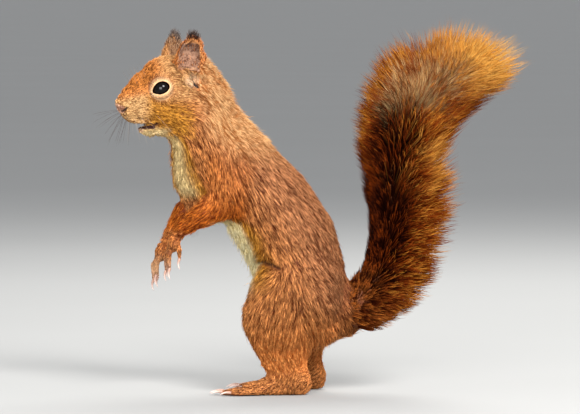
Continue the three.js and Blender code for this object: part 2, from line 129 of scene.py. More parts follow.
def distance_to_line(points, start, end):
    start, end = np.array(start), np.array(end)
    line = end - start
    t = np.clip((points - start) @ line / (line @ line), 0, 1)
    return np.linalg.norm(points - start - t[:, None] * line, axis=1)


def distance_to_path(points, path):
    return np.min([distance_to_line(points, a, b) for a, b in zip(path[:-1], path[1:])], axis=0)


def pair(start, end, radius, coat, make=place):
    """The same stretch on both sides; sideways distances are given for the right side."""
    sides = [[(x, y * side, z) for x, y, z in (start, end)] for side in (LEFT, RIGHT)]
    return [Bone(*ends, radius, coat, make) for ends in sides]


ARMS = [
    Bone((-53, -17, 134), (-56, -20, 111), 9, LIMB),
    Bone((-56, -20, 110), (-80, -17, 96), 6, LIMB),
    Bone((-64, 17, 131), (-73, 18, 111), 9, LIMB),
    Bone((-73, 18, 110), (-88, 14, 90), 6, LIMB),
]
BONES = [
    Bone((23, 0, -9), (11, 0, -2), 5, MUZZLE, on_head),
    Bone((11, 0, 1), (-8, 0, 9), 13, BROW, on_head),
    Bone((-8, 0, 9), (-22, 0, 5), 15, CROWN, on_head),
    *pair((17, 4, -12), (4, 9, -11), 6, MUZZLE, on_head),
    *pair((4, 9, -8), (-16, 13, -10), 9, CHEEK, on_head),
    *pair((2, 7, -16), (-16, 10, -22), 7, CHEEK, on_head),
    Bone((8, 0, -24), (-10, 0, -22), 5, CHIN, on_head),
    Bone((-74, 0, 182), (-52, 0, 150), 19, NAPE),
    Bone((-80, 0, 150), (-84, 0, 128), 9, THROAT),
    Bone((-84, 0, 128), (-68, 0, 100), 9, THROAT),
    Bone((-62, 0, 102), (-50, 0, 80), 12, BELLY),
    Bone((-48, 0, 82), (-40, 0, 62), 10, BELLY),
    Bone((-52, 0, 150), (-22, 0, 112), 24, FLANK),
    Bone((-22, 0, 112), (4, 0, 66), 25, FLANK),
    *pair((-66, 15, 150), (-50, 20, 116), 12, FLANK),
    *pair((-44, 23, 118), (-32, 25, 94), 9, FLANK),
    *pair((-46, 20, 102), (-44, 20, 84), 6, FLANK),
    *pair((-32, 25, 98), (-14, 28, 70), 8, FLANK),
    *pair((-34, 22, 86), (-41, 19, 76), 4, FLANK),
    *pair((-22, 29, 72), (-42, 24, 54), 5, FLANK),
    *pair((-34, 28, 58), (-40, 23, 36), 6, FLANK),
    *pair((-18, 32, 64), (-24, 28, 32), 8, FLANK),
    *pair((-10, 31, 66), (0, 22, 36), 8, FLANK),
    *pair((0, 25, 66), (12, 14, 42), 7, FLANK),
    Bone((8, 0, 66), (22, 0, 48), 12, RUMP),
    Bone((18, 0, 46), (33, 0, 60), 10, RUMP),
    Bone((6, 0, 40), (30, 0, 44), 8, RUMP),
    *pair((-28, 20, 32), (-20, 18, 12), 9, LIMB),
    *pair((-12, 18, 12), (-34, 19, 5), 6, PAW),
    *ARMS,
    Bone((-83, -16, 90), (-88, -16, 75), 4, DIGIT),
    Bone((-91, 13, 85), (-96, 13, 68), 4, DIGIT),
    Bone((-36, -19, 4), (-60, -20, 2), 3, DIGIT),
    Bone((-27, 19, 4), (-51, 20, 2), 3, DIGIT),
]


def coat_at(points):
    """Blends the bones' coats and the lie of the hair at each point: the nearest bones count most."""
    weights = np.stack([1 / (np.maximum(b.distance(points), 0) + 1.2 * MM) ** 3 for b in BONES], 1)
    weights /= weights.sum(1, keepdims=True)
    coat = weights @ np.stack([b.coat for b in BONES])
    flow = weights @ np.stack([b.flow for b in BONES])
    for side in (LEFT, RIGHT):
        away = points - np.array(EYES[side])
        distance = np.linalg.norm(away, axis=1)
        near = fade(7.0, 11.0, distance / MM)[:, None]
        flow = flow * (1 - near) + near * away / distance[:, None]
        coat = coat * (1 - near) + near * np.array(MUZZLE) * (MM, MM, MM, 1)
    return coat, flow


def smooth(low, high, x):
    """0 below the low end and 1 above the high one, with a soft rise between."""
    t = np.clip((x - low) / (high - low), 0, 1)
    return t * t * (3 - 2 * t)


def fade(low, high, x):
    """1 below the low end and 0 above the high one."""
    return 1 - smooth(low, high, x)


# The middle of the body from the rump to the nape, seen from the side
AXIS = np.array(
    [(-4, 53), (-9, 66), (-18, 88.7), (-30.7, 109), (-45.5, 128), (-56.5, 141), (-66.5, 155), (-72, 172)]
) * MM


def round_the_body(points):
    """Signed angle of each point round the body in degrees: 0 on the belly, below 0 on the left side."""
    nearest = np.full(len(points), np.inf)
    angle = np.zeros(len(points))
    flat = points[:, [0, 2]]
    for a, b in zip(AXIS[:-1], AXIS[1:]):
        line = b - a
        t = np.clip((flat - a) @ line / (line @ line), 0, 1)
        away = flat - a - t[:, None] * line
        distance = np.linalg.norm(away, axis=1)
        belly = np.array([-line[1], line[0]]) / np.linalg.norm(line)
        here = np.degrees(np.arctan2(points[:, 1], away @ belly))
        closer = distance < nearest
        nearest[closer], angle[closer] = distance[closer], here[closer]
    return angle


def from_eyes(points):
    """Distance to the nearer eye's centre, in millimetres."""
    return np.min([np.linalg.norm(points - np.array(e), axis=1) for e in EYES.values()], axis=0) / MM


def markings(points):
    """Masks of the coat's colours at each point, shared by the skin and the coat, painted light and shade
    among them.
    """
    x, _, z = points.T / MM
    forward, right, up = head_places(points)
    head = smooth(-22, -12, forward) * smooth(147, 152, z)
    angle = round_the_body(points)
    # The throat's pale strip lies over to the left, as the head is turned that way
    turn = -18 * smooth(104, 120, z) - 8 * smooth(126, 148, z)
    reach = 44 - 33 * smooth(99, 113, z)
    # Painted shade under the head: on the throat the pale strip is dimmed and mixed with gold
    throat = smooth(106, 116, z)
    round_belly = np.abs(angle - turn)
    from_arms = np.min([arm.distance(points) for arm in ARMS], axis=0) / MM
    arm = fade(0.5, 3.0, from_arms)
    hands = fade(-80, -76, x) * fade(94, 98, z)
    elbow = fade(113, 118, z) * fade(-66, -60, x) * fade(-26, -14, angle)
    trunk = smooth(58, 74, z) * (1 - head) * (1 - arm) * (1 - hands) * (1 - elbow)
    belly = fade(reach - 7, reach + 5, round_belly) * trunk
    under = up + 0.10 * forward
    # Painted shade between the forelegs: there the chest takes the forelegs' red in place of the pale strip
    belly *= 1 - fade(113, 120, z) * fade(-71, -66, x)
    chin = head * fade(-25, -20.5, under) * fade(14, 16, forward) * smooth(-7, -1, forward)
    ring = fade(6.2, 7.4, from_eyes(points))
    fingers = fade(-82, -78, x) * fade(70, 82, z) * smooth(40, 44, z)
    lobe = fade(3.2, 5.6, np.hypot(forward + 16.4, up - 5.6)) * smooth(7, 9, np.abs(right))
    muzzle = head * smooth(4, 13, forward) * fade(-7, -2, up + 0.3 * (forward - 14))
    cheek = head * fade(-13, -2, up - 0.25 * (forward + 5))
    cheek = cheek * fade(7, 13, forward) * smooth(-22, -14, forward)
    brow = head * smooth(-1, 5, up + 0.45 * forward - 2.5) * smooth(-1, 7, forward)
    crown = head * smooth(-10, -4, up) * fade(-2, 6, forward)
    # The nape's lighter hair is partly its own colour and partly painted light from above and behind
    nape = smooth(129, 154, z) * smooth(70, 120, np.abs(angle)) * (1 - head)
    top = reach + 26 - 14 * smooth(100, 114, z)
    flank = smooth(reach - 4, reach + 4, round_belly) * fade(reach + 4, top, round_belly) * trunk
    # The back's pinker hair ends are partly its own colour and partly a painted reflection of the sky
    back = smooth(60, 120, np.abs(angle)) * (1 - head) * smooth(40, 60, z)
    rump = smooth(8, 20, x) * smooth(26, 40, z) * fade(80, 110, z)
    foreleg = fade(1.0, 8.0, from_arms) * (1 - head)
    # Painted light from below: the lower legs get lighter hair, above all at the roots
    shin_painted_light = fade(24, 52, z) * fade(2, 14, x) * smooth(8, 18, z)
    masks = {
        "back": back,
        "rump": rump,
        "arm": foreleg * (1 - 0.7 * hands) * (1 - 0.55 * smooth(104, 122, z)),
        "shin_painted_light": shin_painted_light,
        "nape": nape,
        "crown": crown,
        "brow": brow,
        "gold": 0.8 * flank + 0.7 * cheek + belly * throat,
        "muzzle": muzzle,
        "pale": belly * (1 - 0.45 * throat) + 0.6 * chin,
        "ring": ring + 0.95 * lobe + 0.55 * fingers,
    }
    return {name: np.clip(mask, 0, 1) for name, mask in masks.items()}


# ---------------------------------------------------------------- materials
def maths(operation, swapped=False):
    """An operator that adds a Math node, with its sides swapped for the reflected form."""

    def act(self, other):
        a, b = (other, self) if swapped else (self, other)
        return self.surface.node("ShaderNodeMath", {"operation": operation}, {0: a, 1: b})

    return act


class Wire:
    """A shader socket that adds a Math node when it is used in an expression."""

    def __init__(self, surface, socket):
        self.surface, self.socket = surface, socket

    __add__, __radd__ = maths("ADD"), maths("ADD", swapped=True)
    __sub__, __rsub__ = maths("SUBTRACT"), maths("SUBTRACT", swapped=True)
    __mul__, __rmul__ = maths("MULTIPLY"), maths("MULTIPLY", swapped=True)


class Surface:
    """A material with one principled shader."""

    def __init__(self, name, **fixed):
        self.material = bpy.data.materials.new(name)
        self.material.use_nodes = True
        self.nodes = self.material.node_tree.nodes
        self.links = self.material.node_tree.links
        self.shader = self.nodes["Principled BSDF"]
        for socket, value in fixed.items():
            self.shader.inputs[socket.replace("_", " ")].default_value = value

    def node(self, kind, settings=None, inputs=None, output=0):
        made = self.nodes.new(kind)
        for key, value in (settings or {}).items():
            setattr(made, key, value)
        for key, value in (inputs or {}).items():
            if isinstance(value, Wire):
                self.links.new(value.socket, made.inputs[key])
            else:
                made.inputs[key].default_value = value
        return Wire(self, made.outputs[output])

    def attribute(self, name):
        return self.node("ShaderNodeAttribute", {"attribute_name": name}, output="Fac")

    def noise(self, scale, detail=2.0, roughness=0.5):
        spot = self.node("ShaderNodeTexCoord", output="Object")
        inputs = {"Vector": spot, "Scale": scale, "Detail": detail, "Roughness": roughness}
        return self.node("ShaderNodeTexNoise", {}, inputs, "Fac")

    def spread(self, value, low, high, to_low=0.0, to_high=1.0):
        inputs = {0: value, 1: low, 2: high, 3: to_low, 4: to_high}
        return self.node("ShaderNodeMapRange", {"interpolation_type": "SMOOTHSTEP"}, inputs)

    def mix(self, factor, a, b):
        a, b = (colour if isinstance(colour, Wire) else (*colour, 1) for colour in (a, b))
        return self.node("ShaderNodeMix", {"data_type": "RGBA"}, {0: factor, 6: a, 7: b}, 2)

    def bump(self, height, strength, distance):
        inputs = {"Height": height, "Strength": strength, "Distance": distance}
        return self.node("ShaderNodeBump", {}, inputs)

    def feed(self, **inputs):
        for key, wire in inputs.items():
            self.links.new(wire.socket, self.shader.inputs[key.replace("_", " ")])
        return self.material


# The markings in the order in which they lie over each other, and how strongly each covers what is under it;
# the back, nape and lower legs' marks carry painted light
MARKS = {
    "back": 0.8,
    "rump": 0.85,
    "arm": 0.9,
    "shin_painted_light": 0.9,
    "nape": 0.9,
    "crown": 0.8,
    "brow": 0.8,
    "gold": 0.85,
    "muzzle": 0.85,
    "pale": 0.95,
    "ring": 0.95,
}


def marked_colour(surface, colours, tone):
    """The coat's colour from the shared masks; the tone runs from the dark roots to the light ends."""
    colour = surface.mix(tone, colours.coat_root, colours.coat)
    for mark, strength in MARKS.items():
        own = surface.mix(tone, getattr(colours, mark + "_root"), getattr(colours, mark))
        colour = surface.mix(surface.attribute(mark) * strength, colour, own)
    tuft = surface.mix(tone, colours.lid, colours.ear_tuft)
    colour = surface.mix(surface.attribute("tuft"), colour, tuft)
    # Painted shade in the groin crease: the coat darkens towards its root colour there
    return surface.mix(surface.attribute("crease_shade") * 0.5, colour, colours.coat_root)


def coat_material(colours):
    surface = Surface("coat_hair", Roughness=0.7, Specular_IOR_Level=0.04)
    along, strand = surface.attribute("along"), surface.attribute("strand")
    patch = surface.noise(220.0, 2.0, 0.6)
    tone = surface.spread(along, 0.2, 0.9) * 0.6 + strand * 1.15 + patch * 0.1 - 0.60
    return surface.feed(Base_Color=marked_colour(surface, colours, surface.spread(tone, 0.0, 1.0)))


def skin_material(colours):
    surface = Surface("skin_underfur", Roughness=0.65, Specular_IOR_Level=0.15)
    fine, patch = surface.noise(1100.0, 3.0, 0.6), surface.noise(260.0)
    coat = marked_colour(surface, colours, surface.spread(fine * 0.6 + patch * 0.4, 0.3, 0.9, 0.0, 0.5))
    blotch = surface.spread(fine * 0.5 + patch * 0.5, 0.42, 0.58)
    bare = surface.mix(blotch, colours.flesh_fold, colours.flesh)
    colour = surface.mix(surface.attribute("bare"), coat, bare)
    # Painted shadow in the gap between the lips
    colour = surface.mix(surface.attribute("mouth_shade"), colour, colours.mouth_shade)
    # The shade mask turns the skin to the lid colour: at the lids' dark edges, and as painted shade in the
    # grooves, the ears' cups and on the front of the jaw
    colour = surface.mix(surface.attribute("shade"), colour, colours.lid)
    return surface.feed(Base_Color=colour, Normal=surface.bump(fine, 0.35, 0.0004))


def brush_material(colours):
    surface = Surface("brush_hair", Roughness=0.7, Specular_IOR_Level=0.03)
    along, strand = surface.attribute("along"), surface.attribute("strand")
    tone = along + strand * 0.8 - 0.15 - surface.attribute("dark") * 0.85
    colour = surface.mix(surface.spread(tone, 0.2, 0.75), colours.brush_core, colours.brush)
    colour = surface.mix(surface.spread(tone, 0.75, 1.3), colour, colours.brush_tip)
    gold = surface.attribute("golden") * surface.spread(along, 0.05, 0.55)
    colour = surface.mix(gold, colour, surface.mix(strand, colours.brush_tip, colours.brush_gold))
    light = surface.spread(strand, 0.25, 0.75)
    grizzle = surface.mix(light, colours.brush_grey_root, colours.brush_grey)
    middle = surface.spread(along, 0.05, 0.25) * surface.spread(along, 0.6, 0.88, 1.0, 0.0)
    colour = surface.mix(surface.attribute("grey") * middle, colour, grizzle)
    tone = surface.spread(along * 0.5 + strand - 0.5, 0.0, 1.0)
    rump = surface.mix(tone, colours.rump_root, colours.rump)
    return surface.feed(Base_Color=surface.mix(surface.attribute("rump"), colour, rump))


def eye_material():
    surface = Surface("eye_gloss", Roughness=0.04, Specular_IOR_Level=0.18)
    haze = surface.noise(500.0)
    return surface.feed(Base_Color=surface.mix(haze, (0.0006, 0.0005, 0.0005), (0.003, 0.002, 0.0015)))


def claw_material(colours):
    surface = Surface("claw_horn", Roughness=0.35, Specular_IOR_Level=0.5)
    point = surface.spread(surface.attribute("along"), 0.1, 0.9)
    colour = surface.mix(point, colours.claw_root, colours.claw_tip)
    return surface.feed(Base_Color=surface.mix(surface.noise(1200.0) * 0.35, colour, colours.claw_root))


def whisker_material(colours):
    surface = Surface("whisker_hair", Roughness=0.4, Specular_IOR_Level=0.4)
    colour = surface.mix(surface.attribute("strand"), colours.whisker, colours.whisker_light)
    return surface.feed(Base_Color=surface.mix(surface.noise(600.0) * 0.2, colour, colours.whisker))


def floor_material():
    surface = Surface("floor_paint", Roughness=0.9, Specular_IOR_Level=0.2)
    colour = surface.mix(surface.noise(3.0), (0.36, 0.36, 0.355), (0.38, 0.38, 0.375))
    return surface.feed(Base_Color=colour)


# ---------------------------------------------------------------- meshes
def mesh_object(name, mesh, material):
    mesh.name = name
    for polygon in mesh.polygons:
        polygon.use_smooth = True
    piece = bpy.data.objects.new(name, mesh)
    bpy.context.scene.collection.objects.link(piece)
    mesh.materials.append(material)
    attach(piece, "root")
    return piece


def mesh_from(bm, name="part"):
    mesh = bpy.data.meshes.new(name)
    bm.to_mesh(mesh)
    bm.free()
    return mesh


def put_into(bm, part):
    """Adds a finished bmesh to another."""
    mesh = mesh_from(part)
    bm.from_mesh(mesh)
    bpy.data.meshes.remove(mesh)


def add_node(bm, name, grow):
    """Adds a merged copy of a CAD node, grown a little so that it overlaps its neighbours."""
    part = bmesh.new()
    part.from_mesh(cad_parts[name].data)
    bmesh.ops.remove_doubles(part, verts=part.verts, dist=1e-6)
    part.normal_update()
    for vertex in part.verts:
        vertex.co += vertex.normal * grow
    put_into(bm, part)


def with_modifiers(mesh, steps, near_face=None):
    """The mesh after modifiers, each given as a type and its settings."""
    carrier = bpy.data.objects.new("carrier", mesh)
    bpy.context.scene.collection.objects.link(carrier)
    if near_face is not None:
        carrier.vertex_groups.new(name="body").add(np.flatnonzero(~near_face).tolist(), 1.0, "REPLACE")
    for kind, settings in steps:
        modifier = carrier.modifiers.new(kind.lower(), kind)
        for key, value in settings.items():
            setattr(modifier, key, value)
    result = bpy.data.meshes.new_from_object(carrier.evaluated_get(bpy.context.evaluated_depsgraph_get()))
    bpy.data.objects.remove(carrier)
    return result


def remesh(size):
    return "REMESH", {"mode": "VOXEL", "voxel_size": size}


def relax(passes, group=""):
    return "SMOOTH", {"iterations": passes, "factor": 0.5, "vertex_group": group}


def cast(nodes, steps, grow):
    """One closed surface round the named nodes, without their facets."""
    bm = bmesh.new()
    for name in nodes:
        add_node(bm, name, grow)
    return with_modifiers(mesh_from(bm), steps)


def points_of(mesh):
    points = np.empty(3 * len(mesh.vertices))
    mesh.vertices.foreach_get("co", points)
    return points.reshape(-1, 3)


def normals_of(mesh):
    normals = np.empty(3 * len(mesh.vertices))
    mesh.vertex_normals.foreach_get("vector", normals)
    return normals.reshape(-1, 3)


def move_points(mesh, points):
    mesh.vertices.foreach_set("co", points.ravel())
    mesh.update()


def put_attribute(mesh, name, values):
    layer = mesh.attributes.new(name, "FLOAT", "POINT")
    layer.data.foreach_set("value", np.asarray(values, np.float32))


def attribute_of(mesh, name):
    values = np.empty(len(mesh.vertices), np.float32)
    mesh.attributes[name].data.foreach_get("value", values)
    return values


def triangles_of(mesh):
    mesh.calc_loop_triangles()
    corners = np.empty(3 * len(mesh.loop_triangles), np.int32)
    mesh.loop_triangles.foreach_get("vertices", corners)
    return corners.reshape(-1, 3)


def unit(vectors):
    return vectors / np.maximum(np.linalg.norm(vectors, axis=1, keepdims=True), 1e-12)


def tree_of(mesh):
    return BVHTree.FromPolygons(points_of(mesh).tolist(), triangles_of(mesh).tolist())


def add_ball(bm, at, radius, stretch=(1, 1, 1)):
    """A ball on the head, with its radius in millimetres, stretched forward, sideways and up."""
    turn = Matrix((HEAD_FORWARD, HEAD_RIGHT, HEAD_UP)).transposed().to_4x4()
    matrix = Matrix.Translation(at) @ turn @ Matrix.Diagonal((*stretch, 1))
    part = bmesh.new()
    bmesh.ops.create_icosphere(part, subdivisions=3, radius=radius * MM, matrix=matrix)
    put_into(bm, part)


def add_roll(bm, places, radii, segments=12):
    """A smooth roll of flesh with round ends through places, with its radii in millimetres."""
    knots = np.array([(*at, radius * MM) for at, radius in zip(places, radii)])
    steps = along_knots(knots, np.linspace(0, len(knots) - 1, 6 * len(knots)))
    rings = [(Vector(step[:3]), step[3]) for step in steps]
    for _ in range(2):
        # A round cap at the last ring; the second turn caps the other end and puts the order right
        line, size = rings[-1]
        out = (line - rings[-2][0]).normalized() * size
        rings += [(line + out * math.sin(a), size * math.cos(a)) for a in (0.5, 1.0, 1.45)]
        rings.reverse()
    lines, sizes_there = zip(*rings)
    matrices = []
    for n, line in enumerate(lines):
        ahead = lines[min(n + 1, len(lines) - 1)] - lines[max(n - 1, 0)]
        matrices.append(Matrix.Translation(line) @ ahead.to_track_quat("Z", "Y").to_matrix().to_4x4())
    part = bmesh.new()
    add_tube(part, matrices, sizes_there, segments)
    bmesh.ops.recalc_face_normals(part, faces=part.faces)
    put_into(bm, part)


def add_head_roll(bm, knots, side=RIGHT):
    """A roll on one side of the head, through places forward, outward and up, each with its radius."""
    add_roll(bm, [on_head(f, r * side, u) for f, r, u, _ in knots], [knot[3] for knot in knots])


def add_tube(bm, matrices, radii, segments, layer=None):
    """A closed tube through rings that lie in each matrix's flat plane."""
    previous = []
    for n, (matrix, radius) in enumerate(zip(matrices, radii)):
        ends = n in (0, len(radii) - 1)
        circle = {"segments": segments, "radius": radius, "matrix": matrix}
        ring = bmesh.ops.create_circle(bm, cap_ends=ends, **circle)["verts"]
        if layer:
            for vertex in ring:
                vertex[layer] = n / (len(radii) - 1)
        if previous:
            rims = {edge for vertex in previous + ring for edge in vertex.link_edges}
            rims = [e for e in rims if set(e.verts) <= set(previous) or set(e.verts) <= set(ring)]
            bmesh.ops.bridge_loops(bm, edges=rims)
        previous = ring


def add_sheet(bm, columns, rows, shape, thickness, inside):
    """A sheet of flesh laid on shape(u, v), with u and v from 0 to 1, that thickens away from a place."""
    part = bmesh.new()
    bmesh.ops.create_grid(part, x_segments=columns, y_segments=rows, size=0.5)
    for vertex in part.verts:
        vertex.co = shape(vertex.co.x + 0.5, vertex.co.y + 0.5)
    bmesh.ops.remove_doubles(part, verts=part.verts, dist=1e-6)
    bmesh.ops.recalc_face_normals(part, faces=part.faces)
    outward = sum(face.normal.dot(face.calc_center_median() - inside) for face in part.faces)
    bmesh.ops.solidify(part, geom=part.faces[:], thickness=math.copysign(thickness * MM, -outward))
    bmesh.ops.recalc_face_normals(part, faces=part.faces)
    put_into(bm, part)


def along_knots(knots, at):
    """Smooth values between knots (Catmull-Rom)."""
    at = np.clip(at, 0, len(knots) - 1)
    n = np.minimum(at.astype(int), len(knots) - 2)
    t = (at - n)[:, None]
    a, b, c, d = (knots[np.clip(n + k, 0, len(knots) - 1)] for k in (-1, 0, 1, 2))
    return 0.5 * (2 * b + (c - a) * t + (2 * a - 5 * b + 4 * c - d) * t**2 + (3 * b - a - 3 * c + d) * t**3)


# ---------------------------------------------------------------- skin
# The bony core of the tail seen from the side, knot by knot, and its radius
CORE = np.array(
    [
        (8, 48.5, 13.5), (18, 49.5, 13.2), (27.5, 57, 10.8), (35.5, 73, 7.4),
        (39, 92, 5.6), (40.2, 110, 4.8), (41.2, 127, 4.2), (44, 143, 3.8),
        (50, 157, 3.4), (59, 168.5, 3), (70, 177.5, 2.6), (82, 184.5, 2),
    ]
)
CORE_END = len(CORE) - 1
EAR_LEAN = {LEFT: 0.20, RIGHT: 0.06}
# Half widths of the ear's front and back edges from its foot to its top
EAR_FRONT = np.array([(5.5,), (7.4,), (6.9,), (5.7,), (3.8,), (-0.6,)])
EAR_BACK = np.array([(5.2,), (7.2,), (8.0,), (5.6,), (5.6,), (0.8,)])
EAR_FOOT, EAR_HEIGHT = 10.2, 19.2
# The pale lobe in front of the ear's opening and the ridge behind it
EAR_LOBE = [(-11.5, 13.4, 10.5, 1.5), (-12.8, 15.0, 6.5, 1.5), (-15.6, 15.8, 3.0, 1.2)]
EAR_RIDGE = [(-21.5, 13.8, 12, 1.4), (-22.0, 14.8, 7, 1.5), (-21.5, 15.0, 3.4, 1.2)]
# Squares of skin that are kept outside the head and paws, and triangles of the unwrapped copy
BODY_FACES, MAP_FACES = 19500, 12000


def add_tail_core(bm):
    steps = np.linspace(0, CORE_END, 50)
    knots = along_knots(CORE, steps)
    matrices = []
    for n, (x, z, _) in enumerate(knots):
        ahead = knots[min(n + 1, len(knots) - 1)] - knots[max(n - 1, 0)]
        turn = Matrix.Rotation(math.atan2(ahead[0], ahead[1]), 4, "Y")
        matrices.append(Matrix.Translation(place(x, 0, z)) @ turn)
    add_tube(bm, matrices, knots[:, 2] * MM, 16)
    bmesh.ops.recalc_face_normals(bm, faces=bm.faces)


def eye_axes(side):
    """Directions out of an eye, to its front corner and to its upper lid."""
    out = (HEAD_RIGHT * side + HEAD_FORWARD * 0.34 + HEAD_UP * 0.04).normalized()
    front = HEAD_FORWARD - HEAD_UP * 0.36
    front = (front - out * front.dot(out)).normalized()
    up = out.cross(front) * side
    return out, front, up if up.z > 0 else -up


def add_lids(bm):
    """A shell over each eye with an almond opening."""
    for side in (LEFT, RIGHT):
        out, front, up = eye_axes(side)

        def lid(u, v, side=side, out=out, front=front, up=up):
            turn = 2 * math.pi * u
            a, b = math.cos(turn), math.sin(turn)
            width = 0.95 if a > 0 else 0.86
            height = (0.70 if b > 0 else 0.56) * (1 - 0.2 * max(a, 0) ** 2)
            opening = math.asin(min(0.96, 1 / math.hypot(a / width, b / height)))
            away = opening + (math.radians(100) - opening) * v
            way = out * math.cos(away) + (front * a + up * b) * math.sin(away)
            return EYES[side] + way * (EYE_RADIUS + (0.25 + 0.5 * math.sin(math.pi * min(1, v * 2))) * MM)

        add_sheet(bm, 64, 10, lid, 0.9, EYES[side])


def ear_axes(side):
    """Directions out of the ear's cup, to its front edge and up along it."""
    out = HEAD_RIGHT * side * math.cos(0.44) + HEAD_FORWARD * math.sin(0.44)
    front = HEAD_FORWARD * math.cos(0.44) - HEAD_RIGHT * side * math.sin(0.44)
    return out, front, (HEAD_UP + HEAD_RIGHT * side * math.tan(EAR_LEAN[side])).normalized()


def ear_place(side, across, height, proud=0.0):
    """A place on the ear: across from -1 at its back edge to 1 at its front one, height from 0 to 1."""
    out, front, up = ear_axes(side)
    knot = np.array([height * (len(EAR_FRONT) - 1)])
    reach = along_knots(EAR_FRONT, knot)[0, 0] if across > 0 else along_knots(EAR_BACK, knot)[0, 0]
    cup = 3.4 * abs(across) ** 1.8 * (1 - 0.4 * height) + 1.0 * height - 0.4
    foot = on_head(-16.2, 13.6 * side, EAR_FOOT)
    return foot + (up * EAR_HEIGHT * height + front * reach * across + out * (cup + proud)) * MM


def add_ears(bm):
    for side in (LEFT, RIGHT):
        foot = ear_place(side, 0, 0.3, 30)
        add_sheet(bm, 24, 24, lambda u, v, side=side: ear_place(side, 2 * u - 1, v), 1.1, foot)
        for across in (-1, 1):
            heights = np.linspace(0, 1, 12)
            rim = [ear_place(side, across, height, 0.1) for height in heights]
            add_roll(bm, rim, list(0.95 - 0.2 * heights))
        add_head_roll(bm, EAR_LOBE, side)
        add_head_roll(bm, EAR_RIDGE, side)


UPPER_LIP = [
    (19.0, 1.2, -15.4, 1.3),
    (15.6, 2.8, -17.6, 1.4),
    (12.0, 3.8, -18.7, 1.4),
    (8.0, 4.9, -18.9, 1.5),
    (3.0, 6.2, -19.0, 1.5),
]


def add_face(bm):
    """The pad of the nose, the whisker pads, the lips and the chin."""
    add_ball(bm, on_head(21.4, 0, -8.6), 2.9, (1, 1.15, 1.0))
    add_ball(bm, on_head(20.0, 0, -6.4), 3.1)
    add_head_roll(bm, [(23.0, 0, -10.8, 1.4), (20.8, 0, -14.0, 1.3)])
    add_head_roll(bm, [(8.7, 0, -24.2, 1.9), (3.5, 0, -25.0, 2.8)])
    for side in (LEFT, RIGHT):
        add_ball(bm, on_head(22.4, 1.9 * side, -9.4), 1.5, (1.2, 1, 1.1))
        add_ball(bm, on_head(14.6, 3.3 * side, -13.8), 3.5, (1.4, 0.9, 1.0))
        add_head_roll(bm, UPPER_LIP, side)
        add_head_roll(bm, [(9.6, 0.8, -23.5, 1.2), (7.4, 2.4, -23.3, 1.4), (3.4, 4.2, -23.0, 1.6)], side)


def on_skin(tree, forward, side, up):
    """The place on the skin that is seen from the side at that place of the head."""
    start = on_head(forward, 45 * side, up)
    return tree.ray_cast(start, -HEAD_RIGHT * side)[0] or on_head(forward, 0, up)


def on_flank(tree, x, side, z):
    """The place on the skin that is seen square from the side there, in millimetres."""
    return tree.ray_cast(place(x, 60 * side, z), (0, -side, 0))[0]


def press(mesh, path, reach, depth):
    """Presses a groove along a path and returns how far each point lies in it, from 0 to 1."""
    points, normals = points_of(mesh), normals_of(mesh)
    inside = fade(0.25 * reach, reach, distance_to_path(points, path) / MM)
    move_points(mesh, points - normals * inside[:, None] * depth * MM)
    return inside


def make_skin():
    flesh = [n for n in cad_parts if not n.startswith(("eye", "claw", "tail", "ear"))]
    limbs = [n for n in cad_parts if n.startswith(("hand", "foot"))]
    body = cast(flesh, [remesh(0.9 * MM), relax(8)], 0.25 * MM)
    near_face = head_places(points_of(body))[0] > -6
    body = with_modifiers(body, [relax(24, "body")], near_face)
    paws = cast(limbs, [remesh(0.5 * MM), relax(6)], 0.15 * MM)
    # The back runs straight down into the notch in front of the tail
    points = points_of(body)
    x, z = points[:, 0] / MM, points[:, 2] / MM
    notch = np.where(x > 15.5, np.maximum(62, 64 + 2.86 * (18.3 - x)), 300)
    points[:, 2] = np.minimum(z, notch) * MM
    move_points(body, points)
    bm = bmesh.new()
    for mesh in (body, paws):
        points = points_of(mesh)
        move_points(mesh, points - normals_of(mesh) * coat_at(points)[0][:, :1])
        bm.from_mesh(mesh)
    add_lids(bm)
    add_face(bm)
    add_ears(bm)
    put_into(bm, new_part(add_tail_core))
    grain = 0.45
    mesh = with_modifiers(mesh_from(bm), [remesh(grain * MM), relax(3)])
    # The front of the lips slopes back from the nose
    points = points_of(mesh)
    forward, _, up = head_places(points)
    ahead = np.maximum(forward - 23.4 - 0.95 * np.minimum(up + 12.2, 0), 0) * (up < -10) * (up > -22)
    move_points(mesh, points - np.array(HEAD_FORWARD) * (ahead * 0.85 * MM)[:, None])
    x, _, z = points.T / MM
    fine = (forward > -24) & (z > 146) | (x < -78) & (z < 100) | (z < 7) & (x < -20)
    ratio = (fine.mean() * len(mesh.polygons) + BODY_FACES) / len(mesh.polygons)
    return with_modifiers(mesh, [("DECIMATE", {"ratio": ratio, "vertex_group": "body"})], fine)


def new_part(make):
    part = bmesh.new()
    make(part)
    return part


GROIN = ((-37, 77), (-31, 77.2), (-24, 74.8))
# Grooves on each side (nostril, groin, eye corner, ear opening, fold below the ear): what finds their
# places, the places, and their reach, depth and darkness, which is painted shade
GROOVES = [
    (on_skin, ((21.4, -13.4), (20.2, -12.6), (19.3, -11.0)), 1.0, 0.9, 1.0),
    (on_flank, GROIN, 2.6, 2.4, 0.6),
    (on_skin, ((5.0, -2.3), (6.6, -3.3)), 0.8, 0.4, 0.9),
    (on_skin, ((-16.4, 7.0), (-17.0, 4.2), (-18.8, 2.2), (-20.4, 1.0)), 1.5, 1.3, 1.0),
    (on_skin, ((-11.6, 12.4), (-15.5, 11.6), (-21.0, 12.4)), 0.9, 0.6, 0.65),
]
LIPS = ((12.5, 1.0, -20.8), (8, 4.4, -21.0), (3.2, 7.4, -21.2))


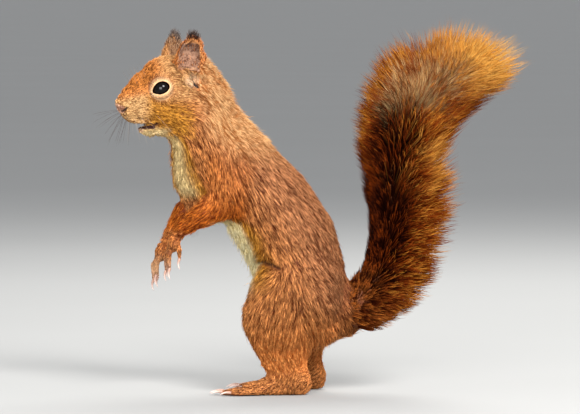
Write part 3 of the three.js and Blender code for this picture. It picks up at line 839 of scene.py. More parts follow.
def inside_ear(side, points, normals, right):
    """Which points are near the ear, how far up it they are, and how much they face out of its cup."""
    out, front, up = (np.array(axis) for axis in ear_axes(side))
    away = (points - np.array(ear_place(side, 0, 0))) / MM
    high, wide, proud = away @ up, away @ front, away @ out
    near = (np.abs(wide) < 10) & (proud > -3.5) & (right * side > 8) & (high > -11) & (high < 22)
    inside = near * smooth(0.05, 0.3, normals @ out) * smooth(-10, -8, high)
    inside = inside * fade(5.6, 6.8, np.abs(wide)) * fade(15.5, 17.5, high)
    inside *= np.where(high > 1, 1.0, smooth(4.2, 2.6, np.abs(wide + 3.2 + 0.25 * high)))
    return near, high, inside


def detail_skin(mesh):
    """Presses in the nostrils, lips, ear openings and folds, and gives the skin its masks."""
    tree = tree_of(mesh)
    shade, mouth_shade, bare, crease_shade = (np.zeros(len(mesh.vertices)) for _ in range(4))
    for side in (LEFT, RIGHT):
        groin = [on_flank(tree, x, side, z) for x, z in GROIN]
        # Painted shade along the groin crease; the same mask also shortens the hair there
        crease_shade = np.maximum(crease_shade, fade(1.0, 4.5, distance_to_path(points_of(mesh), groin) / MM))
        for find, places, reach, depth, dark in GROOVES:
            path = [find(tree, across, side, up) for across, up in places]
            shade = np.maximum(shade, dark * press(mesh, path, reach, depth))
        lips = [on_head(forward, right * side, up) for forward, right, up in LIPS]
        # Painted shadow in the gap between the lips, pressed in and widened round it
        mouth_shade = np.maximum(mouth_shade, press(mesh, lips, 2.3, 1.6))
        mouth_shade = np.maximum(mouth_shade, fade(2.2, 3.3, distance_to_path(points_of(mesh), lips) / MM))
    points, normals = points_of(mesh), normals_of(mesh)
    forward, right, up = head_places(points)
    shade = np.maximum(shade, fade(5.85, 6.15, from_eyes(points)))
    pad = smooth(19.6, 20.6, forward) * fade(-8.9, -8.1, up + 0.5 * (24.5 - forward))
    pad = pad * smooth(-14.6, -13.6, up)
    mouth_shade *= smooth(-24.5, -23.5, up) * fade(-19.6, -18.6, up)
    # The front of the lower jaw: bare flesh with a little painted shade under the upper lip
    jaw = smooth(7.6, 9.4, forward) * smooth(-26.5, -25.5, up) * fade(-22.5, -21.5, up)
    bare = np.maximum(bare, np.maximum(pad, 0.8 * jaw))
    shade = np.maximum(shade, 0.3 * jaw)
    for name, side in SIDES.items():
        near, high, inside = inside_ear(side, points, normals, right)
        STORE["ear_" + name] = near & (high > 2.5)
        bare = np.maximum(bare, inside * (0.5 + 0.45 * smooth(0, 2, high)))
        # Painted shade in the ear's cup, deeper towards its top
        shade = np.maximum(shade, inside * (0.45 * smooth(0, 3, high) + 0.3 * smooth(8, 15, high)))
        low, high_corner = (np.array(corner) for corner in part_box("hand_" + name))
        knuckles = fade(0.1, 0.34, (points[:, 2] - low[2]) / (high_corner[2] - low[2]))
        in_hand = np.all((points > low - MM) & (points < high_corner + MM), axis=1)
        bare = np.maximum(bare, in_hand * knuckles * 0.85)
    lobe = (np.abs(right) > 8) * fade(3.5, 6.5, np.hypot(forward + 17.4, up - 4.6))
    masks = {"shade": shade, "mouth_shade": mouth_shade, "bare": bare, "crease_shade": crease_shade, "tuft": np.zeros(len(points))}
    masks = {**masks, "short": np.maximum(crease_shade, lobe), **markings(points)}
    for name, mask in masks.items():
        put_attribute(mesh, name, np.clip(mask, 0, 1))


# ---------------------------------------------------------------- coat
# Width of a hair's patch on the map of the skin
PATCH = 0.003
# Distance between the places that a streak averages, as a share of the hair's length
STREAK_STEP = 0.09


class SkinMap:
    """Places of points of the skin on a flat map of its own shape."""

    def __init__(self, mesh):
        steps = [("DECIMATE", {"ratio": MAP_FACES / len(mesh.polygons)})]
        small = with_modifiers(mesh.copy(), steps)
        carrier = bpy.data.objects.new("map", small)
        bpy.context.scene.collection.objects.link(carrier)
        bpy.context.view_layer.objects.active = carrier
        for other in bpy.context.selected_objects:
            other.select_set(False)
        carrier.select_set(True)
        bpy.ops.object.mode_set(mode="EDIT")
        bpy.ops.mesh.select_all(action="SELECT")
        bpy.ops.uv.smart_project(angle_limit=math.radians(60), island_margin=0.004)
        bpy.ops.object.mode_set(mode="OBJECT")
        self.corners, self.points = triangles_of(small), points_of(small)
        loops = np.empty(3 * len(small.loop_triangles), np.int32)
        small.loop_triangles.foreach_get("loops", loops)
        uv = np.empty(2 * len(small.loops), np.float32)
        small.uv_layers.active.uv.foreach_get("vector", uv)
        self.uv = uv.reshape(-1, 2)[loops].reshape(-1, 3, 2)
        self.tree = BVHTree.FromPolygons(self.points.tolist(), self.corners.tolist())
        bpy.data.objects.remove(carrier)

    def at(self, points):
        faces = np.array([self.tree.find_nearest(p)[2] for p in points.tolist()])
        corner = [self.points[self.corners[faces, k]] - points for k in range(3)]
        share = [np.linalg.norm(np.cross(corner[k - 2], corner[k - 1]), axis=1) for k in range(3)]
        share = np.stack(share, 1) / np.sum(share, axis=0)[:, None]
        return (self.uv[faces] * share[:, :, None]).sum(1)


class Roots:
    """Random places on the skin where hairs grow, with the skin's normals and masks there."""

    def __init__(self, mesh, weight, count, seed):
        self.rng = np.random.default_rng(seed)
        points, normals, corners = points_of(mesh), normals_of(mesh), triangles_of(mesh)
        a, b, c = (points[corners[:, k]] for k in range(3))
        wanted = np.linalg.norm(np.cross(b - a, c - a), axis=1) * weight[corners].mean(1)
        chosen = corners[self.rng.choice(len(corners), count, p=wanted / wanted.sum())]
        u, v = self.rng.random((2, count))
        flip = u + v > 1
        u[flip], v[flip] = 1 - u[flip], 1 - v[flip]
        share = np.stack([1 - u - v, u, v], 1)
        self.points = (points[chosen] * share[:, :, None]).sum(1)
        self.normals = unit((normals[chosen] * share[:, :, None]).sum(1))
        names = [*MARKS, "tuft", "crease_shade", "short"]
        self.masks = {name: (attribute_of(mesh, name)[chosen] * share).sum(1) for name in names}


def drift(points, size, seed):
    """A smooth random direction at each point; neighbours closer than the size drift together."""
    # Without a seed of its own the noise takes one from the clock
    noise.seed_set(SEEDS["noise"])
    return np.array([noise.noise_vector(Vector(p) / size + Vector((seed, 0, 0))) for p in points.tolist()])


def hair_mesh(name, curve, width, across, masks, maps, rings, sides=3):
    """Closed hairs on quadratic curves, pointed at both ends, all in one mesh."""
    start, middle, end = curve
    count, per = len(start), rings * sides + 2
    steps = [0.4] if rings == 1 else np.linspace(0.15, 0.8, rings)
    rows = []
    for t in steps:
        at = (1 - t) ** 2 * start + 2 * t * (1 - t) * middle + t * t * end
        ahead = unit((1 - t) * (middle - start) + t * (end - middle))
        side = unit(across - ahead * (across * ahead).sum(1, keepdims=True))
        up = np.cross(side, ahead)
        size = (width * (1.25 - t) ** 0.5)[:, None] / 2
        for turn in np.arange(sides) * 2 * math.pi / sides:
            rows.append(at + side * size * math.cos(turn) + up * size * 0.7 * math.sin(turn))
    points = np.stack([start] + rows + [end], 1).reshape(-1, 3)
    points[:, 2] = np.maximum(points[:, 2], 0.2 * MM)
    faces, uvs = [], []
    for k in range(sides):
        left, right = k / sides, (k + 1) / sides
        a, b = 1 + k, 1 + (k + 1) % sides
        faces.append((0, b, a))
        uvs.append([((left + right) / 2, 0.0), (right, steps[0]), (left, steps[0])])
        for low, high in zip(steps[:-1], steps[1:]):
            faces += [(a, b, b + sides), (a, b + sides, a + sides)]
            uvs += [[(left, low), (right, low), (right, high)], [(left, low), (right, high), (left, high)]]
            a, b = a + sides, b + sides
        faces.append((a, b, per - 1))
        uvs.append([(left, steps[-1]), (right, steps[-1]), ((left + right) / 2, 1.0)])
    corners = (np.array(faces)[None] + np.arange(count)[:, None, None] * per).reshape(-1)
    mesh = bpy.data.meshes.new(name)
    mesh.vertices.add(len(points))
    mesh.vertices.foreach_set("co", points.ravel())
    mesh.loops.add(len(corners))
    mesh.loops.foreach_set("vertex_index", corners)
    mesh.polygons.add(len(corners) // 3)
    mesh.polygons.foreach_set("loop_start", np.arange(0, len(corners), 3))
    mesh.update(calc_edges=True)
    put_attribute(mesh, "along", np.tile([0.0, *np.repeat(steps, sides), 1.0], count))
    for key, values in masks.items():
        put_attribute(mesh, key, np.repeat(values, per))
    layer = mesh.uv_layers.new(name="OFBake")
    patch = maps[:, None, None, :] + (np.array(uvs) - 0.5)[None] * PATCH
    layer.uv.foreach_set("vector", np.clip(patch, 0, 1).reshape(-1).astype(np.float32))
    if mesh.validate():
        raise RuntimeError(name + " has broken faces")
    return mesh


def hair_pieces(name, pieces, order, curve, width, across, masks, maps, rings, material):
    """The hairs as meshes of even size, cut in the given order."""
    for n, group in enumerate(np.array_split(np.argsort(order, kind="stable"), pieces)):
        title = name + "_" + str(n + 1) if pieces > 1 else name
        chosen = {key: mask[group] for key, mask in masks.items()}
        part = [points[group] for points in curve]
        mesh = hair_mesh(title, part, width[group], across[group], chosen, maps[group], rings)
        mesh_object(title, mesh, material)


def tree_of_leaders(points, share):
    """A search tree of the hairs that lead a lock, which are one in a few."""
    tree = KDTree(len(points))
    for n in range(0, len(points), share):
        tree.insert(points[n], n)
    tree.balance()
    return tree


def leaders(tree, points):
    """The number of the nearest leading hair to each point."""
    return np.array([tree.find(p)[1] for p in points.tolist()])


def streaks(points, step, rng):
    """A random value for each hair that stays alike along the lie of the coat and changes across it."""
    tree = tree_of_leaders(points, 1)
    value = rng.normal(0, 1, len(points))
    return sum(value[leaders(tree, points + step * k)] for k in range(-3, 4)) / math.sqrt(7)


def laid_down(points, height):
    """The points brought down to a height above the skin where they stand higher than that."""
    found = [STORE["tree"].find_nearest(p) for p in points.tolist()]
    foot, normal = (np.array([f[k] for f in found]) for k in (0, 1))
    above = ((points - foot) * normal).sum(1)
    return points - normal * np.maximum(above - height, 0)[:, None]


def grow_coat(name, roots, pieces, order, scatter, curl, share):
    """Hairs on the skin that follow the lie of the coat and gather in locks."""
    rng, count = roots.rng, len(roots.points)
    coat, flow = coat_at(roots.points)
    lie = unit(flow - roots.normals * (flow * roots.normals).sum(1, keepdims=True))
    lie += scatter * rng.normal(0, 1, (count, 3)) + curl * drift(roots.points, 5 * MM, 3.0)
    lie = unit(lie - roots.normals * (lie * roots.normals).sum(1, keepdims=True))
    length = coat[:, 1] * rng.uniform(0.75, 1.2, count) * (1 - 0.6 * roots.masks["short"])
    width = coat[:, 2] * rng.uniform(0.7, 1.3, count)
    lift = np.minimum(coat[:, 3] * rng.gamma(2.2, 0.45, count), 1.0)
    start = roots.points - roots.normals * 0.12 * MM
    rise = (np.sin(lift) * length)[:, None] * roots.normals
    run = (np.cos(lift) * length)[:, None] * lie
    lock = leaders(tree_of_leaders(roots.points, share), roots.points)
    end = start + run + rise
    end = laid_down(end * 0.6 + end[lock] * 0.4, np.sin(lift) * length + 0.3 * MM)
    curve = [start, start + 0.45 * run + 0.8 * rise, end]
    across = unit(np.cross(roots.normals, lie))
    streak = streaks(roots.points, STREAK_STEP * coat[:, 1:2] * lie, rng)
    contrast = 0.6 + 0.4 * smooth(3.4, 5.0, coat[:, 1])
    strand = 0.62 + contrast * (0.27 * streak + rng.normal(0, 0.15, count))
    masks = {**roots.masks, "strand": np.clip(strand, 0, 1)}
    maps = STORE["map"].at(roots.points)
    hair_pieces(name, pieces, order, curve, width, across, masks, maps, 1, STORE["coat_hair"])


# ---------------------------------------------------------------- settings
def colour(name, description, default):
    limits = {"subtype": "COLOR", "min": 0, "max": 1}
    return FloatVectorProperty(name=name, description=description, default=default, **limits)


def number(name, description, default):
    return IntProperty(name=name, description=description, default=default, min=0)


def length(name, description, default):
    return FloatProperty(name=name, description=description, default=default, unit="LENGTH", precision=6)


# The coat and each marking: where it is, and the colours of its hairs' ends and roots; some markings are
# painted light, as noted
COAT_TINTS = {
    "coat": ("where no marking lies", (0.98, 0.39, 0.120), (0.06, 0.008, 0.0012)),
    # Partly a painted reflection of the sky on the back's hair ends
    "back": ("along the back", (0.88, 0.41, 0.19), (0.10, 0.018, 0.005)),
    "rump": ("at the root of the tail", (0.38, 0.11, 0.020), (0.04, 0.005, 0.0006)),
    "arm": ("on the forelegs", (0.78, 0.20, 0.018), (0.11, 0.012, 0.001)),
    # Painted light from below on the lower legs
    "shin_painted_light": ("on the lower legs", (1.0, 0.40, 0.11), (0.28, 0.065, 0.010)),
    # Partly painted light from above and behind on the nape
    "nape": ("on the nape", (1.0, 0.65, 0.31), (0.44, 0.145, 0.030)),
    "crown": ("on the crown", (0.88, 0.54, 0.23), (0.22, 0.075, 0.018)),
    "brow": ("on the brow and bridge of the nose", (0.64, 0.23, 0.042), (0.06, 0.010, 0.0015)),
    "gold": ("on the cheeks and flanks", (0.74, 0.37, 0.012), (0.12, 0.034, 0.001)),
    "muzzle": ("on the muzzle", (0.84, 0.55, 0.25), (0.16, 0.060, 0.013)),
    "pale": ("on the belly and throat", (1.0, 0.92, 0.58), (0.56, 0.43, 0.18)),
    "ring": ("round the eye", (0.94, 0.70, 0.46), (0.60, 0.34, 0.16)),
}


class SquirrelColours(PropertyGroup):
    ear_tuft: colour("Ear tuft", "Ends of the tufts on the ears", (0.20, 0.16, 0.14))
    # Also the colour of the painted shade on the skin, and of the ear tufts' roots
    lid: colour("Lid", "Dark edge of the lids and nostrils", (0.02, 0.010, 0.008))
    # The colour of the painted shadow in the gap between the lips
    mouth_shade: colour("Mouth", "Inside of the mouth", (0.025, 0.007, 0.005))
    flesh: colour("Flesh", "Light bare skin", (0.50, 0.27, 0.17))
    flesh_fold: colour("Flesh folds", "Dark bare skin", (0.14, 0.055, 0.03))
    brush_core: colour("Brush core", "Roots of the brush", (0.010, 0.0012, 0.0002))
    brush: colour("Brush", "Middle of the brush's hairs", (0.15, 0.023, 0.0015))
    brush_tip: colour("Brush ends", "Ends of the brush's hairs", (0.50, 0.20, 0.024))
    brush_gold: colour("Brush gold", "Light hairs at the tip of the brush", (0.52, 0.29, 0.070))
    brush_grey: colour("Brush grizzle", "Light hairs at the bend of the brush", (1.0, 0.72, 0.34))
    brush_grey_root: colour("Grizzle roots", "Dark hairs at the bend of the brush", (0.66, 0.34, 0.125))
    claw_root: colour("Claw root", "Root of a claw", (0.40, 0.22, 0.16))
    claw_tip: colour("Claw point", "Point of a claw", (0.70, 0.56, 0.50))
    whisker: colour("Whisker", "Dark whiskers", (0.05, 0.025, 0.015))
    whisker_light: colour("Light whisker", "Pale whiskers", (0.66, 0.52, 0.42))


def add_tints(group):
    """Gives the group the ends' and the roots' colour of each marking."""
    for mark, (where, ends, roots) in COAT_TINTS.items():
        title = mark.capitalize()
        group.__annotations__[mark] = colour(title, "Hair ends " + where, ends)
        group.__annotations__[mark + "_root"] = colour(title + " roots", "Hair roots " + where, roots)


class SquirrelSizes(PropertyGroup):
    coat_hairs: number("Coat hairs", "Locks of hair on the body", 110000)
    face_hairs: number("Face hairs", "Fine hairs on the head and paws", 64000)
    ear_hairs: number("Ear hairs", "Hairs on the back and rim of each ear", 3500)
    brush_hairs: number("Brush hairs", "Long hairs of the brush", 33000)
    brush_width: length("Brush hair", "Width of a hair of the brush", 0.00046)
    camera_distance: length("Camera distance", "Distance of the camera", 2.6)
    picture_width: length("Picture width", "Width that the camera sees at the animal", 0.3364)
    camera_elevation: FloatProperty(
        name="Camera elevation",
        description="Angle of the camera above the level",
        default=math.radians(3.0),
        subtype="ANGLE",
    )


def sizes():
    return bpy.context.scene.squirrel_sizes


def colours():
    return bpy.context.scene.squirrel_colours


def share_of(count):
    return int(count * (1))


# ---------------------------------------------------------------- operators
class OBJECT_OT_squirrel_stage(Operator):
    """Sets the floor, the light and the camera"""

    bl_idname = "object.squirrel_stage"
    bl_label = "Stage"

    def execute(self, context):
        bm = bmesh.new()
        bmesh.ops.create_grid(bm, x_segments=8, y_segments=8, size=80.0)
        floor = bpy.data.objects.new("floor", mesh_from(bm, "floor"))
        context.scene.collection.objects.link(floor)
        floor.data.materials.append(floor_material())
        world = bpy.data.worlds.new("studio")
        world.use_nodes = True
        background = world.node_tree.nodes["Background"]
        background.inputs["Color"].default_value = (0.95, 0.97, 1.0, 1)
        background.inputs["Strength"].default_value = 0.7
        context.scene.world = world
        lamps = [
            ("key", (0.55, -1.15, 1.05), 0.55, 36.0, (1.0, 0.985, 0.96)),
            ("front", (-0.4, -1.7, 0.3), 1.0, 44.0, (1.0, 1.0, 1.0)),
            ("back", (0.3, 0.9, 1.2), 0.9, 20.0, (1.0, 0.99, 0.96)),
        ]
        for name, at, size, power, tint in lamps:
            lamp = bpy.data.lights.new(name, "AREA")
            lamp.size, lamp.energy, lamp.color = size, power, tint
            holder = bpy.data.objects.new(name, lamp)
            holder.location = at
            holder.rotation_euler = (place(0, 0, 110) - Vector(at)).to_track_quat("-Z", "Y").to_euler()
            context.scene.collection.objects.link(holder)
        camera = bpy.data.cameras.new("camera")
        camera.sensor_width = 36.0
        camera.lens = camera.sensor_width * sizes().camera_distance / sizes().picture_width
        camera.clip_end = 200.0
        rig = bpy.data.objects.new("camera", camera)
        turn = sizes().camera_elevation
        away = Vector((0, -math.cos(turn), math.sin(turn)))
        rig.location = PICTURE_MIDDLE + away * sizes().camera_distance
        rig.rotation_euler = (math.pi / 2 - turn, 0, 0)
        context.scene.collection.objects.link(rig)
        context.scene.camera = rig
        context.scene.view_settings.view_transform = "Standard"
        return {"FINISHED"}


class OBJECT_OT_squirrel_skin(Operator):
    """Builds the one skin that stands for every piece of flesh"""

    bl_idname = "object.squirrel_skin"
    bl_label = "Skin"

    def execute(self, context):
        mesh = make_skin()
        detail_skin(mesh)
        skin = mesh_object("skin", mesh, skin_material(colours()))
        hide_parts(*[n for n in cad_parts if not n.startswith(("eye", "claw"))])
        STORE["skin"], STORE["tree"] = mesh, tree_of(mesh)
        return {"FINISHED"}


class OBJECT_OT_squirrel_eyes(Operator):
    """Sets a glossy eye in each socket"""

    bl_idname = "object.squirrel_eyes"
    bl_label = "Eyes"

    def execute(self, context):
        material = eye_material()
        for name, side in SIDES.items():
            bm = bmesh.new()
            bmesh.ops.create_uvsphere(bm, u_segments=48, v_segments=32, radius=EYE_RADIUS)
            bmesh.ops.translate(bm, verts=bm.verts, vec=EYES[side])
            eye = mesh_object("eyeball_" + name, mesh_from(bm), material)
            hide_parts("eye_" + name)
        return {"FINISHED"}


class OBJECT_OT_squirrel_claws(Operator):
    """Grows a curved claw from each digit"""

    bl_idname = "object.squirrel_claws"
    bl_label = "Claws"

    def execute(self, context):
        material = claw_material(colours())
        for paw, digits in (("hand", 4), ("foot", 5)):
            for name in SIDES:
                nodes = ["claw_" + name + "_" + paw + "_" + str(n + 1) for n in range(digits)]
                bm = bmesh.new()
                layer = bm.verts.layers.float.new("along")
                for node in nodes:
                    self.add_claw(bm, layer, node, paw)
                bmesh.ops.recalc_face_normals(bm, faces=bm.faces)
                claws = mesh_object("claws_" + name + "_" + paw, mesh_from(bm), material)
                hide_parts(*nodes)
        return {"FINISHED"}

    def add_claw(self, bm, layer, node, paw):
        low, high = (Vector(corner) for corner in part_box(node))
        middle = (low + high) / 2
        if paw == "hand":
            root = Vector((middle.x, middle.y, high.z + 0.9 * MM))
            point = Vector((middle.x, middle.y, low.z))
            bend = Vector((-0.9 * MM, 0, 0))
        else:
            root = Vector((high.x + 0.9 * MM, middle.y, high.z - 0.6 * MM))
            point = Vector((low.x, middle.y, low.z + 0.2 * MM))
            bend = Vector((0, 0, 0.8 * MM))
        matrices, radii = [], []
        for t in np.linspace(0, 1, 7):
            at = root.lerp(point, t) + bend * math.sin(math.pi * t)
            ahead = (point - root) + bend * math.pi * math.cos(math.pi * t)
            matrices.append(Matrix.Translation(at) @ ahead.to_track_quat("Z", "X").to_matrix().to_4x4())
            radii.append(0.8 * MM * (1 - t) ** 0.7 + 0.09 * MM)
        add_tube(bm, matrices, radii, 8, layer)


def on_tail(mesh):
    """1 on the core of the tail beyond the rump, where the brush takes over from the coat."""
    x, facing = points_of(mesh)[:, 0] / MM, normals_of(mesh)[:, 0]
    return np.maximum(smooth(16, 21.5, x), smooth(8, 14, x) * smooth(0.6, 0.85, facing))


def on_face(points):
    """1 on the face, ears and paws, which have the finest hair."""
    x, _, z = points.T / MM
    forward = head_places(points)[0]
    paws = (x < -79) & (z < 102) | (z < 13)
    return np.maximum(smooth(-12, -5, forward) * smooth(147, 150, z), paws)


def can_grow(mesh):
    """Share of hair at each point of the skin: none on eyes, lids, lips, bare flesh or ears."""
    points = points_of(mesh)
    clear = np.prod([1 - attribute_of(mesh, name) for name in ("shade", "mouth_shade", "bare")], axis=0)
    clear *= smooth(6.05, 6.35, from_eyes(points)) * (points[:, 2] > 1.2 * MM)
    return clear * ~(STORE["ear_left"] | STORE["ear_right"]) * (1 - on_tail(mesh))


class OBJECT_OT_squirrel_coat(Operator):
    """Lays the coat over the body and limbs"""

    bl_idname = "object.squirrel_coat"
    bl_label = "Coat"

    def execute(self, context):
        mesh = STORE["skin"]
        STORE["map"] = SkinMap(mesh)
        STORE["coat_hair"] = coat_material(colours())
        weight = can_grow(mesh) * (1 - on_face(points_of(mesh)))
        roots = Roots(mesh, weight, share_of(sizes().coat_hairs), SEEDS["coat"])
        grow_coat("coat_body", roots, 4, roots.points[:, 2], 0.05, 0.10, 2)
        return {"FINISHED"}


class OBJECT_OT_squirrel_face(Operator):
    """Lays the short coat of the face and paws"""

    bl_idname = "object.squirrel_face"
    bl_label = "Face"

    def execute(self, context):
        mesh = STORE["skin"]
        points = points_of(mesh)
        short = 1 + 1.2 * smooth(2, 14, head_places(points)[0])
        weight = can_grow(mesh) * on_face(points) * short
        roots = Roots(mesh, weight, share_of(sizes().face_hairs), SEEDS["face"])
        grow_coat("coat_face", roots, 2, roots.points[:, 0], 0.08, 0.10, 1)
        return {"FINISHED"}


class OBJECT_OT_squirrel_ears(Operator):
    """Lays the hair on the backs and rims of the ears, with a tuft on each tip"""

    bl_idname = "object.squirrel_ears"
    bl_label = "Ears"

    def execute(self, context):
        mesh = STORE["skin"]
        for name, side in SIDES.items():
            weight = STORE["ear_" + name] * (1 - attribute_of(mesh, "bare"))
            roots = Roots(mesh, weight, share_of(sizes().ear_hairs), SEEDS["ears"] + side)
            rng, count = roots.rng, len(roots.points)
            out, front, up = (np.array(axis) for axis in ear_axes(side))
            away = (roots.points - np.array(ear_place(side, 0, 0))) / MM
            height, wide = np.clip(away @ up / EAR_HEIGHT, 0, 1), away @ front
            near = float(side == LEFT)
            top = smooth(0.78, 0.97, height) * (rng.random(count) < 0.5) * fade(-0.5, 2.0, wide)
            top *= 1 - near * fade(-6.5, -5.0, wide)
            lie = up + 0.25 * roots.normals + 0.03 * wide[:, None] * front - 0.12 * out
            lie = unit(lie + 0.14 * rng.normal(0, 1, (count, 3)))
            length = (2.2 + 2.9 * top) * rng.uniform(0.7, 1.2, count) * MM
            start = roots.points - roots.normals * 0.1 * MM
            end = start + lie * length[:, None]
            middle = start + lie * length[:, None] * 0.5 + roots.normals * 0.2 * MM
            width = (0.26 + 0.06 * top) * rng.uniform(0.7, 1.3, count) * MM
            masks = {**roots.masks, "strand": rng.random(count) * (1 - 0.5 * top * near)}
            far = 0.65 * (side == RIGHT) * fade(3.0, 6.0, wide)
            dusk = np.maximum((0.35 - 0.3 * near) * smooth(0.5, 0.9, height), far)
            masks["tuft"] = np.clip(top + dusk, 0, 1)
            masks["crown"] = np.full(count, 0.6 - 0.4 * near)
            masks["arm"] = np.full(count, 0.7 * near)
            masks["nape"] = masks["nape"] * (1 - near)
            across = unit(np.cross(roots.normals, lie))
            maps, curve, hair = STORE["map"].at(roots.points), [start, middle, end], STORE["coat_hair"]
            hair_pieces("coat_ear_" + name, 1, height, curve, width, across, masks, maps, 1, hair)
        return {"FINISHED"}


# How the brush's hairs lie on the inner and outer side of each knot of the tail's core, in degrees above +X,
# and how much they bow
BRUSH_LIE = np.array(
    [
        (45, -16, 2), (45, -13, 2), (66, -8, 5), (98, -3, 8), (110, 1, 10), (122, 6, 14),
        (134, 16, 18), (140, 26, 18), (134, 16, 12), (112, 2, 10), (78, 4, 8), (34, 16, 6),
    ]
)


def in_profile(degrees):
    """Directions seen from the side, in degrees above +X."""
    turn = np.radians(degrees)
    return np.stack([np.cos(turn), np.zeros(len(turn)), np.sin(turn)], 1)


class OBJECT_OT_squirrel_brush(Operator):
    """Grows the long hair of the tail"""

    bl_idname = "object.squirrel_brush"
    bl_label = "Brush"

    def execute(self, context):
        rng = np.random.default_rng(SEEDS["brush"])
        count = share_of(sizes().brush_hairs)
        outline = tree_of(cast(TAIL_NODES, [remesh(2 * MM), relax(2)], 0.8 * MM))
        at = 0.85 + (CORE_END - 0.85) * rng.random(count) ** 0.95
        angle = rng.uniform(-math.pi, math.pi, count)
        knots = along_knots(CORE, at)
        ahead = unit((along_knots(CORE, at + 0.05) - along_knots(CORE, at - 0.05))[:, :2])
        outer = np.stack([ahead[:, 1], np.zeros(count), -ahead[:, 0]], 1)
        radial = outer * np.cos(angle)[:, None] + np.array([0, 1, 0]) * np.sin(angle)[:, None]
        line = np.stack([knots[:, 0], np.zeros(count), knots[:, 1]], 1) * MM
        start = line + radial * knots[:, 2:3] * 0.9 * MM
        # The lie changes quickly from the inner side of the tail to the outer one
        fringe = smooth(-0.3, 0.35, np.cos(angle))
        lie_inside, lie_outside, bow = along_knots(BRUSH_LIE, at).T
        wave = drift(start, 6 * MM, 7.0)
        lie = lie_inside * (1 - fringe) + lie_outside * fringe + 22 * wave[:, 0]
        lie += rng.normal(0, 8, count) * (1 + 1.2 * smooth(10, 11, at))
        bow = bow + rng.normal(0, 9, count)
        sideways = np.array([0, 1, 0]) * (0.6 * np.sin(angle) + 0.10 * rng.normal(0, 1, count))[:, None]
        way = unit(in_profile(lie) * (1 - 0.35 * np.abs(np.sin(angle)))[:, None] + sideways)
        reach = []
        for origin, direction in zip(start.tolist(), way.tolist()):
            reach.append(outline.ray_cast(origin, direction)[3] or 8 * MM)
        inner = 4 + 6 * smooth(1.2, 2.5, at) + 16 * smooth(2.5, 5, at) + 18 * smooth(6, 8, at)
        longest = inner * (1 - fringe) + (12 + 32 * smooth(1.2, 3.2, at)) * fringe
        lock = leaders(tree_of_leaders(start, 6), start)
        length = np.minimum(np.array(reach), longest * MM)
        length *= 0.74 + 0.2 * rng.random(count) + 0.32 * rng.random(count)[lock] ** 1.5
        end = start + way * length[:, None]
        end = end * 0.6 + end[lock] * 0.4
        middle = start + unit(in_profile(lie - bow) + sideways) * length[:, None] * 0.5
        low = fade(7.2, 8.8, at)
        dark = low * (0.95 - 0.6 * fringe) + (1 - low) * 0.55 * fade(9.0, 10.6, at)
        # Painted rim light: the brush is less dark along its inner edge
        edge = smooth(0.2, 0.8, -np.cos(angle)) * smooth(4.5, 6.5, at)
        dark *= 1 - 0.6 * edge
        light = smooth(0.1, 0.35, wave[:, 1]) * smooth(4.2, 5.2, at) * fade(7.2, 8.0, at) * fringe
        strand = rng.normal(0.5, 0.3, count)[lock] + rng.normal(0, 0.15, count) + 0.25 * wave[:, 1]
        bend = smooth(7.2, 8.4, at) * fade(9.8, 10.8, at) * (1 - 0.6 * fringe)
        masks = {
            "strand": np.clip(strand, 0, 1),
            "dark": np.clip(dark, 0, 1),
            "rump": 0.75 * fade(1.2, 3.0, at),
            "grey": bend * smooth(0.2, 0.7, np.abs(np.sin(angle))),
            "golden": np.maximum(smooth(9.2, 11.0, at), 0.4 * light),
        }
        maps = np.stack([0.02 + 0.96 * at / CORE_END, 0.5 + 0.48 * angle / math.pi], 1)
        width = sizes().brush_width * rng.uniform(0.6, 1.3, count)
        across = unit(np.cross(way, radial + 0.01))
        curve, hair = [start, middle, end], brush_material(colours())
        hair_pieces("brush", 3, at, curve, width, across, masks, maps, 2, hair)
        return {"FINISHED"}


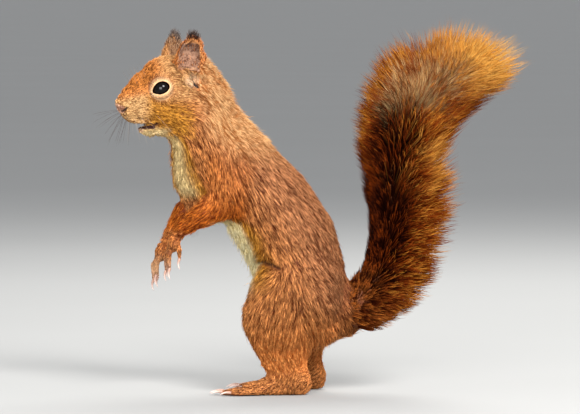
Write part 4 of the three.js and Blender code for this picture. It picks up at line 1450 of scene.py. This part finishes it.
class OBJECT_OT_squirrel_whiskers(Operator):
    """Sets the whiskers on muzzle, brow, cheek and wrist"""

    bl_idname = "object.squirrel_whiskers"
    bl_label = "Whiskers"

    def execute(self, context):
        rng = np.random.default_rng(SEEDS["whiskers"])
        curves, pale = [], []

        def whisker(root, way, length, droop, light):
            way = way.normalized() * length * MM
            curves.append((root, root + way * 0.55, root + way - HEAD_UP * droop * MM))
            pale.append(light)

        for side in (LEFT, RIGHT):
            for n in range(9):
                root = on_head(19.5 - 1.5 * (n % 3), (2.6 + 0.4 * (n % 3)) * side, -12.0 - 1.2 * (n // 3))
                way = HEAD_FORWARD * (1.0 - 0.10 * n) + HEAD_RIGHT * side * 0.35
                way -= HEAD_UP * (0.10 + 0.13 * n)
                whisker(root, way, rng.uniform(15, 22), rng.uniform(1, 5), 0.0)
            for n in range(4):
                root = on_head(15 - 1.8 * n, (4.0 + 0.4 * n) * side, -14.0 - 0.4 * (n % 3))
                way = HEAD_RIGHT * side * 0.55 - HEAD_UP * (1.0 - 0.1 * n) - HEAD_FORWARD * (0.1 + 0.12 * n)
                whisker(root, way, rng.uniform(14, 20), 3, 1.0)
            for n in range(4):
                root = on_head(8 + 1.6 * n, 7.0 * side, 6.5 - 1.6 * n)
                way = HEAD_FORWARD * 0.5 + HEAD_RIGHT * side * 0.15 + HEAD_UP * 0.85
                whisker(root, way, rng.uniform(8, 12), 0, 0.2)
            way = HEAD_RIGHT * side * 0.3 - HEAD_UP * 0.75 - HEAD_FORWARD * 0.6
            whisker(on_head(4, 11.5 * side, -14.0), way, 22, 1, 1.0)
        for n in range(14):
            arm, share = (ARMS[1], 0.62 + 0.03 * n) if n < 7 else (ARMS[3], 0.25 + 0.05 * (n - 7))
            wrist = Vector(arm.start).lerp(Vector(arm.end), share)
            way = Vector((0.35, 0.1 * (n % 3 - 1), -0.9))
            whisker(wrist - HEAD_UP * 4.6 * MM, way, rng.uniform(3.5, 5), 0, 0.0)
        curve = [np.array([c[k] for c in curves]) for k in range(3)]
        count = len(curves)
        across = np.cross(unit(curve[2] - curve[0]), np.array([0.1, 0.2, 1.0]))
        maps = np.stack([np.linspace(0.05, 0.95, count), np.full(count, 0.5)], 1)
        masks = {"strand": np.array(pale)}
        material = whisker_material(colours())
        width = np.where(masks["strand"] > 0.5, 0.10, 0.18) * MM
        hair_pieces("whiskers", 1, np.arange(count), curve, width, across, masks, maps, 8, material)
        return {"FINISHED"}


class VIEW3D_PT_squirrel(Panel):
    """Lists the steps that make the squirrel"""

    bl_label = "Squirrel"
    bl_idname = "VIEW3D_PT_squirrel"
    bl_space_type = "VIEW_3D"
    bl_region_type = "UI"
    bl_category = "Squirrel"

    def draw(self, context):
        for step in STEPS:
            self.layout.operator(step.bl_idname)
        for group in (context.scene.squirrel_sizes, context.scene.squirrel_colours):
            for name in group.__annotations__:
                self.layout.prop(group, name)


STEPS = (
    OBJECT_OT_squirrel_stage,
    OBJECT_OT_squirrel_skin,
    OBJECT_OT_squirrel_eyes,
    OBJECT_OT_squirrel_claws,
    OBJECT_OT_squirrel_coat,
    OBJECT_OT_squirrel_face,
    OBJECT_OT_squirrel_ears,
    OBJECT_OT_squirrel_brush,
    OBJECT_OT_squirrel_whiskers,
)
CLASSES = (SquirrelColours, SquirrelSizes, *STEPS, VIEW3D_PT_squirrel)


def register():
    add_tints(SquirrelColours)
    for cls in CLASSES:
        bpy.utils.register_class(cls)
    bpy.types.Scene.squirrel_sizes = PointerProperty(type=SquirrelSizes)
    bpy.types.Scene.squirrel_colours = PointerProperty(type=SquirrelColours)


def unregister():
    del bpy.types.Scene.squirrel_colours
    del bpy.types.Scene.squirrel_sizes
    for cls in reversed(CLASSES):
        bpy.utils.unregister_class(cls)


def main():
    register()
    bpy.ops.object.squirrel_stage()
    bpy.ops.object.squirrel_skin()
    bpy.ops.object.squirrel_eyes()
    bpy.ops.object.squirrel_claws()
    bpy.ops.object.squirrel_coat()
    bpy.ops.object.squirrel_face()
    bpy.ops.object.squirrel_ears()
    bpy.ops.object.squirrel_brush()
    bpy.ops.object.squirrel_whiskers()


if __name__ == "__main__":
    main()
